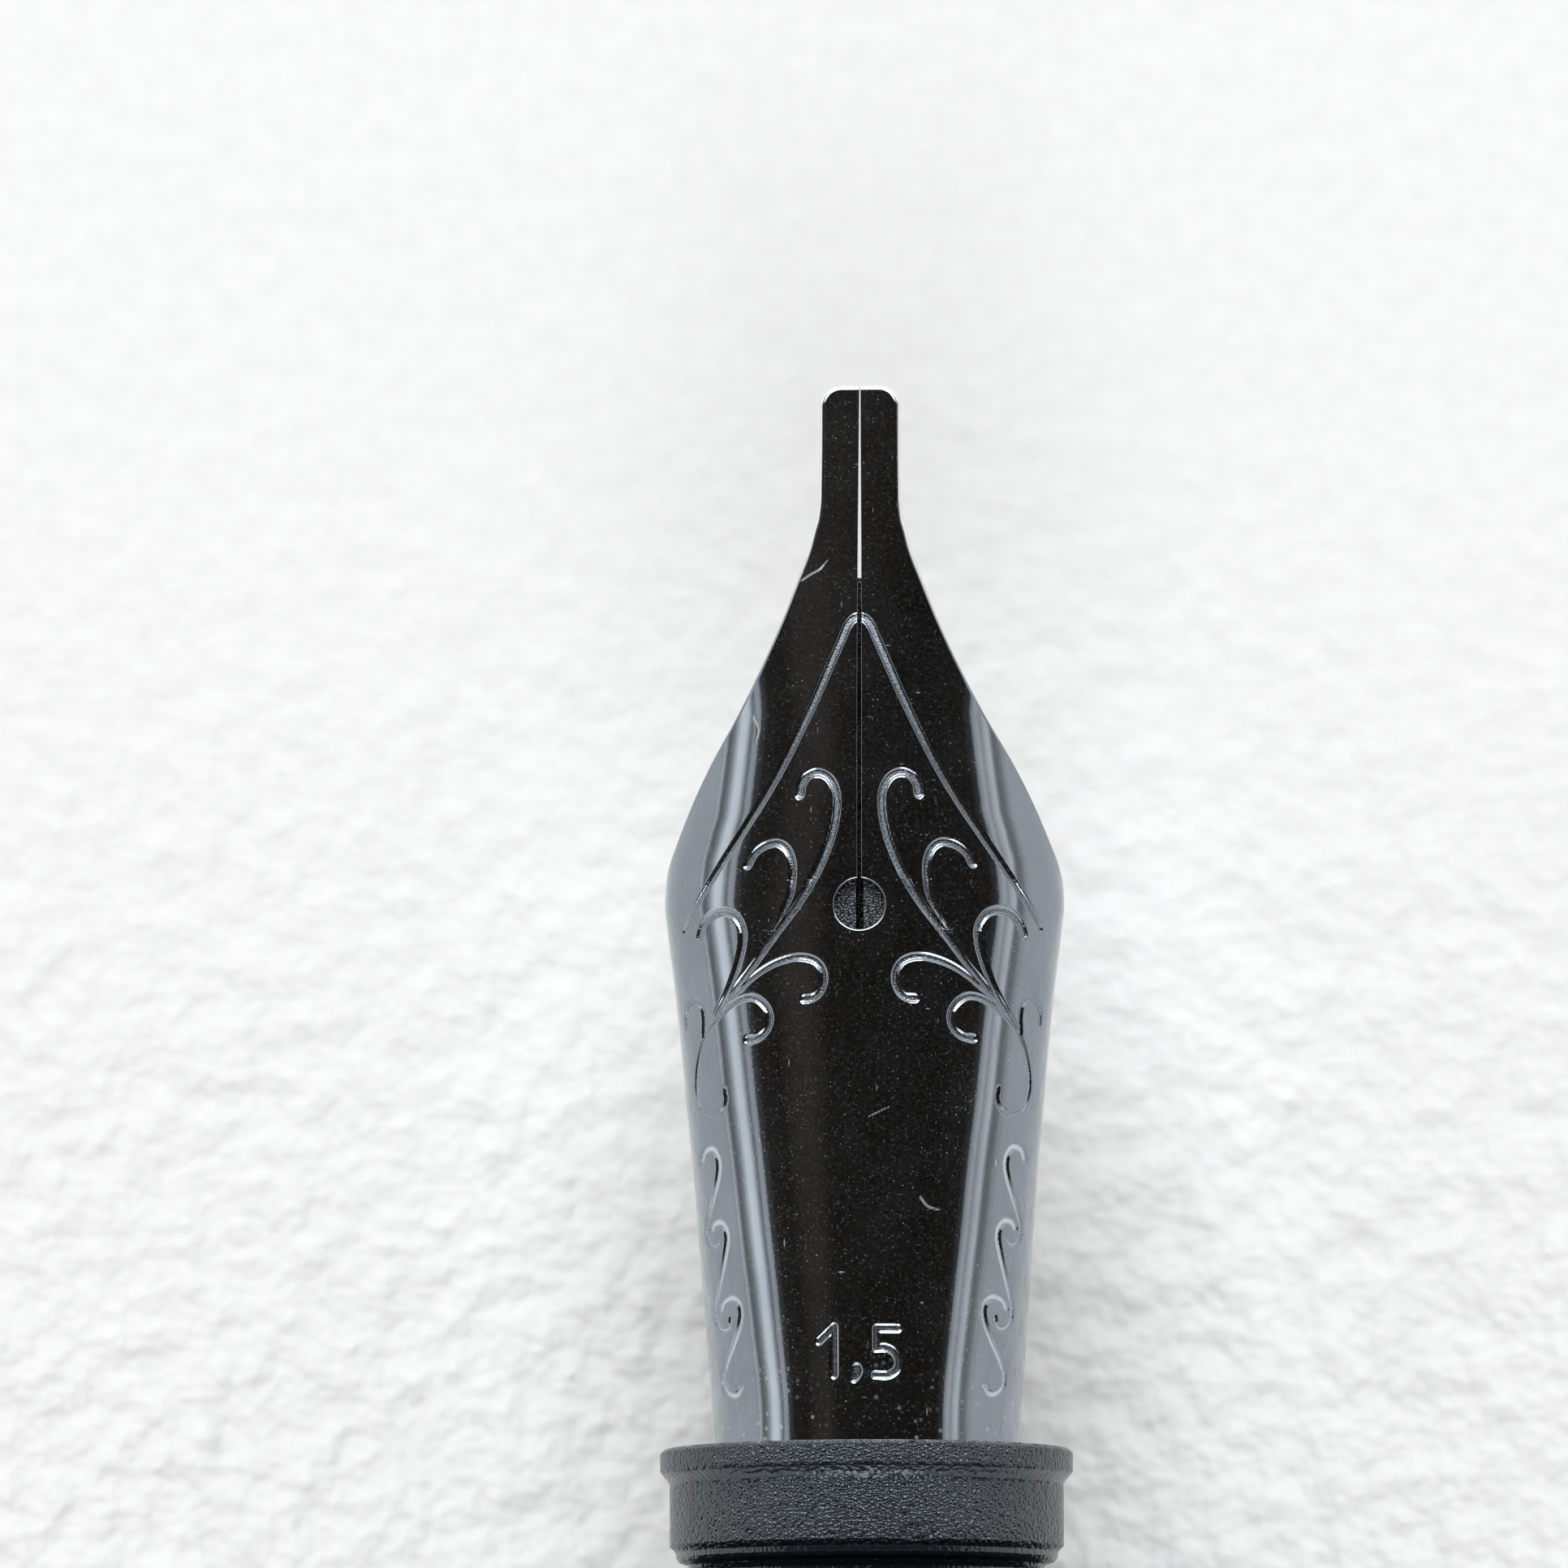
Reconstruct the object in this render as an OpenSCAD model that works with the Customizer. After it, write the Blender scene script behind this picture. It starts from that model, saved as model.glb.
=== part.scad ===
// Calligraphy pen with a screw-in broad nib unit, lying on its lower barrel flat.
// +Y runs along the pen towards the nib, +Z is up. The nib's upper face looks up.
// Every axial dimension "a" is counted from the front face of the nib collar,
// positive towards the nib tip and negative towards the tail.

/* [Nib] */
// Length of nib that stands out of the collar
nib_len = 22.0; // [20:0.5:24]
// Length of nib hidden inside the collar
nib_tail = 12.0; // [9:0.5:12.5]
// Thickness of the nib sheet
nib_t = 0.25; // [0.2:0.01:0.3]
// Half width of the writing edge
tip_hw = 0.82; // [0.7:0.01:0.95]
// Half width over the shoulders
shoulder_hw = 4.15; // [4.1:0.01:4.25]
// Radius of the wrapped nib where it enters the collar
nib_r = 3.17; // [3.1:0.01:3.18]
// Radius of the breather hole
hole_r = 0.52; // [0.4:0.02:0.7]
// Distance of the breather hole from the collar face
hole_a = 11.0; // [10.5:0.05:12]
// Width of the ink slit
slit_w = 0.06; // [0.04:0.01:0.1]
// Width of the engraved lines
engrave_w = 0.16; // [0.1:0.02:0.2]
// Depth of the engraved lines
engrave_t = 0.05; // [0.03:0.01:0.08]

/* [Feed] */
// Number of comb fins under the feed
fin_count = 11; // [6:1:12]
// Pitch of the comb fins
fin_pitch = 0.78; // [0.7:0.01:0.8]
// Width of each comb slot
fin_slot = 0.34; // [0.25:0.01:0.45]
// Width of the capillary channel
channel_w = 0.16; // [0.1:0.02:0.3]

/* [Nib collar] */
// Radius of the front flange
flange_r = 4.25; // [4.2:0.05:4.4]
// Radius of the band behind the flange
band_r = 4.05; // [3.95:0.05:4.1]
// Crest radius of the collar thread
collar_thread_r = 3.6; // [3.58:0.01:3.62]
// Pitch of the collar thread
collar_pitch = 0.5; // [0.5:0.1:0.6]
// Radius of the bore that holds the nib and feed
collar_bore_r = 3.23; // [3.22:0.01:3.25]

/* [Grip] */
// Radius of the grip at its front lip
grip_front_r = 5.0; // [4.9:0.05:5.2]
// Radius of the grip at its waist
grip_waist_r = 4.8; // [4.75:0.05:5.0]
// Radius of the grip at its rear
grip_rear_r = 5.88; // [5.85:0.01:5.95]

/* [Barrel] */
// Width across the flats of the barrel
flats = 12.2; // [12.1:0.1:12.6]
// Largest radius of the barrel over its rounded edges
barrel_r = 6.7; // [6.6:0.05:6.8]
// Length of the whole pen behind the collar face
tail_a = 103.5; // [102:0.5:110]
// Pitch of the barrel thread
barrel_pitch = 1.0; // [0.8:0.1:1.2]

/* [Converter] */
// Outer radius of the ink reservoir tube
tube_r = 3.6; // [3.5:0.05:3.65]
// Inner radius of the ink reservoir tube
tube_bore_r = 3.0; // [2.9:0.05:3.1]
// Radius of the turning knob
knob_r = 3.65; // [3.6:0.05:3.7]
// Number of flutes round the knob
flutes = 18; // [12:2:24]

/* [Hidden] */
$fn = 96;
axis_z = flats / 2;
y_off = (tail_a - nib_len) / 2;
gap = 0.02;

// Nib outline: distance from the collar face, half width of the sheet
nib_outline = [
    [-13.0, nib_r], [0.0, nib_r], [0.6, 3.18], [2.3, 3.31], [4.0, 3.43], [5.6, 3.55],
    [7.0, 3.69], [8.0, 3.78], [9.0, 3.88], [10.0, 4.00], [10.7, 4.09], [11.3, shoulder_hw],
    [11.7, 4.13], [12.0, 4.07], [12.6, 3.85], [13.2, 3.60], [14.0, 3.20], [15.0, 2.61], [16.0, 2.08],
    [17.0, 1.62], [17.9, 1.28], [18.5, 1.07], [18.9, 0.97], [19.2, 0.885], [19.6, 0.84],
    [nib_len - 0.6, tip_hw], [nib_len - 0.27, tip_hw], [nib_len - 0.14, tip_hw - 0.03],
    [nib_len - 0.06, tip_hw - 0.10], [nib_len - 0.02, tip_hw - 0.17], [nib_len, tip_hw - 0.27]];
// Crown height over the axis, and depth of the section's arc, along the nib
nib_crown = [[-13, nib_r], [0, nib_r], [4, 3.13], [8, 3.02], [12, 2.80], [16, 2.42],
             [20, 1.88], [22, 1.58], [24, 1.3]];
nib_depth = [[-13, nib_r], [0, nib_r], [4, 3.05], [8, 2.93], [11.3, 2.88], [15, 2.85],
             [17, 2.0], [19.5, 0.8], [22, 0.3], [24, 0.3]];
nib_stations = [-nib_tail, -6, -0.5, 1, 2, 3, 4, 5, 6, 7, 8, 9, 9.6, 10.2, 10.8, 11.3, 11.6,
                12, 12.4, 12.8, 13.2, 13.6, 14, 14.5, 15, 15.5, 16, 16.5, 17, 17.5, 18, 18.4,
                18.8, 19.2, 19.6, 20.4, nib_len - 0.6, nib_len - 0.27, nib_len - 0.14, nib_len - 0.06, nib_len - 0.02, nib_len];

function hw(a) = lookup(a, nib_outline);
// Half width of the section's full arc, narrowing ahead of the shoulders
nib_arc = [[11.3, 1], [12, 0.99], [12.6, 0.964], [13.2, 0.93], [14, 0.901], [15, 0.872], [16, 0.843],
           [18, 0.771], [22, 0.723], [25, 0.723]];
function arc_hw(a) = a < 11.3 ? hw(a) : max(hw(a) + 0.02, shoulder_hw * lookup(a, nib_arc));
function arc_depth(a) = lookup(a, nib_depth);
function crown(a) = lookup(a, nib_crown);
// Point on the nib's section at station a; s from -1 to 1 across it, t below the upper face
function nib_point(a, s, t) =
    let(b = arc_hw(a), h = arc_depth(a), reach = asin(min(1, hw(a) / b)), p = s * reach)
    [(b - t) * sin(p), y_off + a, axis_z + crown(a) - t - max(0.02, h - t) * (1 - cos(p))];

// Closed skin over a grid of rings, each ring a closed loop of n points
module skin(rings) {
    m = len(rings);
    n = len(rings[0]);
    polyhedron(
        points = [for (r = rings) for (p = r) p],
        faces = concat(
            [[for (i = [0:n - 1]) i]],
            [for (j = [0:m - 2]) for (i = [0:n - 1])
                [j * n + i, (j + 1) * n + i, (j + 1) * n + (i + 1) % n]],
            [for (j = [0:m - 2]) for (i = [0:n - 1])
                [j * n + i, (j + 1) * n + (i + 1) % n, j * n + (i + 1) % n]],
            [[for (i = [n - 1:-1:0]) (m - 1) * n + i]]),
        convexity = 6);
}

// Turns a shape drawn along +Z, with z = a, onto the pen's axis
module on_axis() translate([0, y_off, axis_z]) rotate([-90, 0, 0]) children();
// Solid of revolution about the pen's axis from a profile of [radius, a] points
module lathe(profile) on_axis() rotate_extrude() polygon(profile);
// Rounded thread crests as a list of [radius, a] points, running towards the tail
function ridges(from, to, pitch, root, crest) =
    [for (i = [0:floor((from - to) / pitch) - 1]) each
        [[root, from - i * pitch - 0.1 * pitch], [crest, from - i * pitch - 0.4 * pitch],
         [crest, from - i * pitch - 0.6 * pitch], [root, from - i * pitch - 0.9 * pitch]]];

// Centre lines of the engraving on the right half, as [x, a]; the left half mirrors them
border = [[0, 17.0], [0.3, 16.7], [0.9, 15.3], [1.75, 13.6], [2.35, 12.65], [3.1, 11.6], [3.75, 10.6]];
scrolls = [
    [[1.2, 13.3], [1.1, 13.65], [0.8, 13.75], [0.5, 13.5], [0.45, 13.0], [0.85, 11.7], [1.5, 10.7],
     [3.05, 8.75], [3.35, 8.1], [3.4, 7.3], [3.2, 6.8], [2.85, 6.8], [2.75, 7.2]],
    [[2.3, 11.9], [2.05, 12.25], [1.6, 12.25], [1.35, 11.8], [1.4, 11.2], [1.8, 10.5]],
    [[3.3, 10.5], [3.1, 10.9], [2.65, 10.9], [2.4, 10.4], [2.6, 9.6], [3.0, 8.85]],
    [[1.1, 9.05], [0.75, 9.25], [0.75, 9.7], [1.2, 9.9], [1.85, 9.75], [2.65, 9.15]],
    [[2.3, 8.25], [1.9, 8.45], [1.9, 8.95], [2.3, 9.15], [3.1, 8.6]],
    [[3.5, 8.7], [3.5, 9.1], [3.3, 9.1], [3.25, 8.5]],
    [[3.3, 5.9], [3.15, 6.1], [2.95, 5.85], [3.0, 5.3], [3.2, 4.6], [3.15, 4.2], [2.95, 4.15]],
    [[3.15, 4.45], [2.9, 4.55], [2.75, 4.2], [3.0, 3.0], [2.95, 2.45], [2.75, 2.4], [2.7, 2.65]],
    [[2.95, 2.8], [2.7, 3.0], [2.5, 2.7], [2.85, 1.6], [2.8, 1.15], [2.55, 1.1]]];

// Point over the nib at [x, a], t below its upper face
function on_nib(x, a, t) =
    let(b = arc_hw(a), h = arc_depth(a), p = asin(max(-0.999, min(0.999, x / b))))
    [(b - t) * sin(p), y_off + a, axis_z + crown(a) - t - max(0.02, h - t) * (1 - cos(p))];
function way(p, q) = (q - p) / norm(q - p);
// An engraved line along the points of line, narrowing towards its far end
module stroke(line) {
    m = len(line) - 1;
    skin([for (i = [0:m])
        let(d = way(line[max(0, i - 1)], line[min(m, i + 1)]),
            w = engrave_w * (1 - 0.4 * i / m) / 2, left = [-d[1], d[0]] * w, p = line[i])
        [on_nib(p[0] + left[0], p[1] + left[1], -0.1), on_nib(p[0] - left[0], p[1] - left[1], -0.1),
         on_nib(p[0] - left[0], p[1] - left[1], engrave_t), on_nib(p[0] + left[0], p[1] + left[1], engrave_t)]]);
}
// The round end of an engraved line
module dot(p) hull() skin([for (t = [-0.1, engrave_t])
    [for (i = [0:5]) on_nib(p[0] + 0.1 * cos(60 * i), p[1] - 0.1 * sin(60 * i), t)]]);
module engraved_sheet() union() {
    n = 10;
    difference() {
        skin([for (a = nib_stations) concat(
            [for (i = [-n:n]) nib_point(a, i / n, 0)],
            [for (i = [n:-1:-n]) nib_point(a, i / n, nib_t)])]);
        for (k = [-1, 1]) {
            for (line = concat([border], scrolls)) stroke([for (p = line) [k * p[0], p[1]]]);
            for (line = scrolls) dot([k * line[0][0], line[0][1]]);
        }
        // ink slit
        translate([-slit_w / 2, y_off + hole_a, 0]) cube([slit_w, nib_len, 20]);
    }
}
module nib() color([0.16, 0.16, 0.17]) difference() {
    engraved_sheet();
    // breather hole
    translate([0, y_off + hole_a, axis_z]) cylinder(r = hole_r, h = 8);
}

// Feed section: half width and belly height over the axis, along the feed
feed_w = [[0, 2.84], [4, 2.80], [8, 2.65], [11, 2.25], [14, 1.52], [16.5, 0.85], [17.8, 0.42]];
feed_belly = [[0, -2.95], [3, -2.90], [6, -2.45], [9, -1.45], [12, -0.15], [14, 0.72], [16.5, 1.55], [17.8, 1.80]];
function feed_top(a, x) =
    let(b = arc_hw(a) - nib_t, h = max(0.02, arc_depth(a) - nib_t))
    axis_z + crown(a) - nib_t - gap - h * (1 - sqrt(max(0, 1 - pow(min(0.999, abs(x) / b), 2))));
module feed() color([0.10, 0.10, 0.11]) {
    n = 10;
    difference() {
        skin([for (a = [-0.5, 1, 2.5, 4, 5.5, 7, 8.5, 10, 11, 12, 13, 14, 15, 16, 17, 17.8])
            let(w = lookup(a, feed_w), low = axis_z + lookup(a, feed_belly),
                edge = max(low + 0.05, feed_top(a, w) - 0.05))
            concat(
                [for (i = [-n:n]) let(x = w * sin(i / n * 90)) [x, y_off + a, max(edge, feed_top(a, x))]],
                [for (i = [n - 1:-1:-n + 1]) let(q = i / n * 90)
                    [w * sin(q), y_off + a, edge - (edge - low) * cos(q)]])]);
        // comb slots, cut from below and open at both sides
        for (i = [0:fin_count - 1])
            let(a = 1.4 + i * fin_pitch, top = axis_z + crown(a) - nib_t - 1.5 - a * 0.06)
            translate([0, y_off + a, 0]) {
                translate([-5, 0, -2]) cube([10, fin_slot, 2 + top - 0.6]);
                for (k = [-1, 1]) translate([k > 0 ? 0.85 : -5.85, 0, -2]) cube([5, fin_slot, 2 + top]);
            }
        // capillary channel along the top
        translate([-channel_w / 2, y_off - 1, axis_z + 0.6]) cube([channel_w, 20, 6]);
    }
    // rear of the feed: seats the nib above and fills the bore below
    difference() {
        union() {
            lathe([[0, -0.45], [nib_r - nib_t - gap, -0.45], [nib_r - nib_t - gap, -13.2], [0, -13.2]]);
            intersection() {
                lathe([[0, -0.45], [collar_bore_r - 0.05, -0.45], [collar_bore_r - 0.05, -13.2], [0, -13.2]]);
                translate([-5, y_off - 20, axis_z - 5.2]) cube([10, 20, 5]);
            }
        }
        translate([-channel_w / 2, y_off - 14, axis_z + 1.6]) cube([channel_w, 14, 6]);
        // air groove under the feed
        translate([-0.5, y_off - 14, axis_z - 4]) cube([1, 14, 1.6]);
    }
}

module nib_collar() color([0.13, 0.13, 0.14])
    lathe(concat(
        [[collar_bore_r, 0], [flange_r - 0.08, 0], [flange_r, -0.08], [flange_r, -0.44],
         [flange_r - 0.06, -0.52], [band_r + 0.04, -0.64], [band_r, -0.72], [band_r, -1.98],
         [band_r - 0.08, -2.05], [band_r - 0.12, -2.12], [band_r - 0.13, -2.22], [band_r - 0.19, -2.30],
         [3.68, -2.36], [collar_thread_r, -2.50],
         [collar_thread_r, -3.80], [3.43, -3.95]],
        ridges(-3.95, -9.45, collar_pitch, 3.43, collar_thread_r),
        [[3.43, -9.5], [3.38, -9.6], [3.38, -13.4], [3.20, -13.9], [1.60, -13.9],
         [1.35, -14.2], [1.35, -19.4], [1.15, -19.8], [0.65, -19.8], [0.65, -13.3],
         [collar_bore_r, -13.3]]));

module neck_oring() color([0.06, 0.06, 0.06])
    on_axis() translate([0, 0, -3.36]) rotate_extrude() translate([collar_thread_r + 0.36, 0])
        circle(r = 0.34, $fn = 24);

grip_profile = [[4.34, -2.95], [4.78, -2.95], [grip_front_r - 0.03, -3.15], [grip_front_r, -3.6],
    [4.90, -4.6], [grip_waist_r, -6.6], [4.84, -9.0], [5.00, -12.0], [5.26, -15.5],
    [5.52, -19.0], [5.76, -22.0], [grip_rear_r, -23.7], [grip_rear_r - 0.08, -24.0]];
module grip_shell() color([0.12, 0.12, 0.13])
    lathe(concat(grip_profile,
        [[5.04, -24.0], [5.04, -20.0], [4.36, -20.0], [4.36, -3.75], [4.34, -3.75]]));

module grip_liner() color([0.20, 0.20, 0.21])
    lathe(concat(
        [[3.66, -3.80], [4.34, -3.80], [4.34, -19.98], [5.02, -19.98], [5.02, -24.0],
         [4.62, -24.0], [4.62, -25.7]],
        ridges(-25.7, -32.75, barrel_pitch, 4.45, 4.80),
        [[4.45, -32.8], [4.30, -33.2], [3.95, -33.2], [3.95, -14.2], [3.44, -14.2], [3.44, -9.68]],
        [for (i = [10:-1:0]) each [[3.66, -4.3 - i * 0.5 - 0.4], [3.78, -4.3 - i * 0.5 - 0.25],
                                   [3.66, -4.3 - i * 0.5 - 0.1]]]));

module trim_ring() color([0.80, 0.80, 0.82])
    lathe([[4.86, -24.03], [5.93, -24.03], [6.03, -24.13], [6.03, -25.37], [5.93, -25.47],
           [5.30, -25.47], [5.30, -25.9], [4.86, -25.9]]);

module barrel_oring() color([0.06, 0.06, 0.06])
    on_axis() translate([0, 0, -26.25]) rotate_extrude() translate([5.12, 0]) circle(r = 0.26, $fn = 24);

module barrel_shell() color([0.12, 0.12, 0.13])
    intersection() {
        lathe([[5.45, -25.5], [5.90, -25.5], [6.04, -25.64], [6.30, -28], [6.50, -32], [6.64, -38],
               [barrel_r, -48], [barrel_r, -62], [6.58, -72], [6.22, -82], [5.70, -90],
               [5.05, -97], [4.92, -98.0], [2.42, -98.0], [2.42, -92.5], [4.35, -92.5],
               [4.35, -36.2], [5.45, -36.2]]);
        on_axis() translate([0, 0, -110]) cylinder(r = flats / sqrt(3), h = 120, $fn = 6);
    }

module barrel_bush() color([0.78, 0.62, 0.32])
    lathe(concat(
        [[5.43, -36.18], [5.43, -25.95], [5.42, -25.92]],
        [[5.42, -26.6], [4.88, -26.6]],
        [for (i = [0:5]) each [[4.88, -26.7 - i], [5.10, -27.0 - i], [5.10, -27.3 - i], [4.88, -27.6 - i]]],
        [[4.88, -34.5], [4.40, -35.0], [4.40, -36.18]]));

module tail_ring() color([0.80, 0.80, 0.82])
    lathe([[2.55, -98.02], [4.88, -98.02], [4.98, -98.12], [4.98, -98.98], [4.88, -99.08], [2.55, -99.08]]);

module tail_plug() color([0.12, 0.12, 0.13])
    lathe([[0, -tail_a], [1.6, -tail_a + 0.08], [2.9, -tail_a + 0.5], [3.8, -tail_a + 1.3],
           [4.4, -tail_a + 2.4], [4.72, -tail_a + 3.6], [4.80, -99.1], [2.35, -99.1],
           [2.35, -93.0], [2.15, -92.7], [0, -92.7]]);

module converter_tube() color([0.85, 0.90, 0.95, 0.4])
    lathe([[1.38, -14.5], [3.0, -14.5], [3.3, -14.8], [3.3, -17.5], [tube_r, -18.2], [tube_r, -52.0],
           [tube_bore_r, -52.0], [tube_bore_r, -20.8], [2.6, -20.4], [1.38, -20.4]]);

module converter_sleeve() color([0.80, 0.80, 0.82])
    lathe([[tube_r + 0.01, -45.0], [3.72, -45.0], [3.76, -45.05], [3.76, -60.9], [3.70, -61.0],
           [2.85, -61.0], [2.85, -60.6], [tube_r + 0.01, -60.6]]);

module rod_guide() color([0.18, 0.18, 0.19])
    difference() {
        lathe([[1.0, -52.02], [tube_r - 0.01, -52.02], [tube_r - 0.01, -55.4], [1.0, -55.4]]);
        intersection() {
            on_axis() translate([0, 0, -56]) cylinder(r = 1.65, h = 6);
            translate([-1.25, y_off - 60, axis_z - 3]) cube([2.5, 20, 6]);
        }
    }

module piston_seal() color([0.05, 0.05, 0.05])
    lathe([[0, -46.4], [1.2, -46.5], [2.6, -46.9], [2.96, -47.1], [2.96, -47.6], [2.45, -48.0],
           [2.45, -49.2], [2.96, -49.6], [2.96, -50.2], [2.7, -50.4], [1.5, -50.4], [1.5, -48.2], [0, -48.2]]);

module piston_rod() color([0.18, 0.18, 0.19])
    intersection() {
        lathe(concat([[0, -48.22], [1.2, -48.22], [1.4, -48.4], [1.4, -51.4]],
            ridges(-51.4, -78.9, 1.5, 1.36, 1.58),
            [[1.3, -79.2], [0, -79.2]]));
        translate([-1.2, y_off - 90, axis_z - 3]) cube([2.4, 60, 6]);
    }

module converter_knob() color([0.10, 0.10, 0.11])
    difference() {
        lathe([[2.66, -61.2], [3.45, -61.2], [knob_r, -61.4], [knob_r, -80.4], [2.66, -80.4]]);
        for (i = [0:flutes - 1]) on_axis() rotate([0, 0, i * 360 / flutes]) translate([knob_r + 0.12, 0, -79.6])
            cylinder(r = 0.36, h = 16.6, $fn = 16);
    }

module knob_spindle() color([0.82, 0.80, 0.74])
    lathe([[1.66, -55.6], [3.4, -55.6], [3.4, -56.6], [2.64, -57.0], [2.64, -79.6], [1.66, -79.6]]);

module knob_cap() color([0.80, 0.80, 0.82])
    lathe([[0, -81.2], [2.9, -81.2], [3.4, -80.9], [3.45, -80.42], [2.62, -80.42], [2.62, -79.62], [0, -79.62]]);

nib();
feed();
nib_collar();
neck_oring();
grip_shell();
grip_liner();
trim_ring();
barrel_oring();
barrel_shell();
barrel_bush();
tail_ring();
tail_plug();
converter_tube();
converter_sleeve();
rod_guide();
piston_seal();
piston_rod();
converter_knob();
knob_spindle();
knob_cap();
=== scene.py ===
import math

import bpy
import numpy as np
from mathutils import Matrix, Vector


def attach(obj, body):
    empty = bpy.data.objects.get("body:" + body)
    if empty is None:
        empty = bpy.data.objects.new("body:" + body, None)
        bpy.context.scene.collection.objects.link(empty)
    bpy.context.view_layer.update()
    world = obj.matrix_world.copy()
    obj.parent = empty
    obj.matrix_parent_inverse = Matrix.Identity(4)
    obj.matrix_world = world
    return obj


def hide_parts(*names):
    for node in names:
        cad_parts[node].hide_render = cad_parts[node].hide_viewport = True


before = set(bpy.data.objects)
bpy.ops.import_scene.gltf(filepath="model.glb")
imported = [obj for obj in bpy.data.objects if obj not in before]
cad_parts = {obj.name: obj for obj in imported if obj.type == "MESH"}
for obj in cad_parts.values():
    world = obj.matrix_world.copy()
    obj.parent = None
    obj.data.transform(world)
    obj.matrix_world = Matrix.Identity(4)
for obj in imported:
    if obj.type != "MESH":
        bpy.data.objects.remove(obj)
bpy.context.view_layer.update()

MM = 0.001
YO = 40.75          # where the collar's front face stands along the pen, mm
AZ = 6.1            # height of the pen's axis, mm


# ------------------------------------------------------------------ meshes
def mesh_object(name, verts_mm, quads, tris=None, attrs=None):
    """A smooth-shaded mesh object from millimetre points; attrs are point floats."""
    verts = np.asarray(verts_mm, float) * MM
    quads = np.asarray(quads, np.int64).reshape(-1, 4)
    tris = np.zeros((0, 3), np.int64) if tris is None else np.asarray(tris, np.int64).reshape(-1, 3)
    used = np.unique(np.concatenate([quads.ravel(), tris.ravel()]))
    remap = np.full(len(verts), -1, np.int64)
    remap[used] = np.arange(len(used))
    verts, quads, tris = verts[used], remap[quads], remap[tris]
    me = bpy.data.meshes.new(name)
    me.vertices.add(len(verts))
    me.vertices.foreach_set("co", verts.astype(np.float32).ravel())
    loops = np.concatenate([quads.ravel(), tris.ravel()]).astype(np.int32)
    me.loops.add(len(loops))
    me.loops.foreach_set("vertex_index", loops)
    starts = np.concatenate([np.arange(len(quads)) * 4, len(quads) * 4 + np.arange(len(tris)) * 3])
    me.polygons.add(len(starts))
    me.polygons.foreach_set("loop_start", starts.astype(np.int32))
    me.polygons.foreach_set("use_smooth", np.ones(len(starts), bool))
    me.update(calc_edges=True)
    me.validate()
    for key, values in (attrs or {}).items():
        layer = me.attributes.new(key, "FLOAT", "POINT")
        layer.data.foreach_set("value", np.asarray(values, np.float32)[used])
    ob = bpy.data.objects.new(name, me)
    bpy.context.scene.collection.objects.link(ob)
    return ob


def finish_piece(ob, body, slot, material, *nodes):
    ob.data.materials.clear()
    ob.data.materials.append(material)
    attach(ob, body)
    if nodes:
        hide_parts(*nodes)
    return ob


def rounded(profile, radius, seg=4, sharpest=16.0, ring=True):
    """The closed profile with each real corner turned into a small arc, with support points beside it."""
    pts = [np.array(p, float) for p in profile]
    n = len(pts)
    out = []
    for i, p in enumerate(pts):
        a, b = pts[i - 1], pts[(i + 1) % n]
        d1, d2 = np.linalg.norm(p - a), np.linalg.norm(b - p)
        if d1 < 1e-6 or d2 < 1e-6:
            continue
        u1, u2 = (p - a) / d1, (b - p) / d2
        turn = math.degrees(math.acos(max(-1, min(1, float(u1 @ u2)))))
        if turn < sharpest or p[0] < 1e-6:
            out.append(p)
            continue
        t = min(radius * math.tan(math.radians(min(turn, 150)) / 2), 0.42 * d1, 0.42 * d2)
        s, e = p - u1 * t, p + u2 * t
        k = min(0.35 * t, 0.05)
        if d1 > 2.6 * t + 2 * k:
            out.append(s - u1 * k)
        for q in np.linspace(0, 1, seg + 1):
            out.append((1 - q) ** 2 * s + 2 * q * (1 - q) * p + q * q * e)
        if d2 > 2.6 * t + 2 * k:
            out.append(e + u2 * k)
    return out


def split_long(pts, step, closed=True, fine=None):
    """Adds points along edges longer than step(a); fine is a list of (from, to, step) zones in a."""
    out = []
    n = len(pts)
    for i in range(n if closed else n - 1):
        p, q = pts[i], pts[(i + 1) % n]
        out.append(p)
        local = step
        for lo, hi, s in fine or []:
            if max(p[1], q[1]) > lo and min(p[1], q[1]) < hi:
                local = min(local, s)
        m = int(math.ceil(np.linalg.norm(q - p) / local))
        for k in range(1, m):
            out.append(p + (q - p) * k / m)
    if not closed:
        out.append(pts[-1])
    return out


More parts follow.
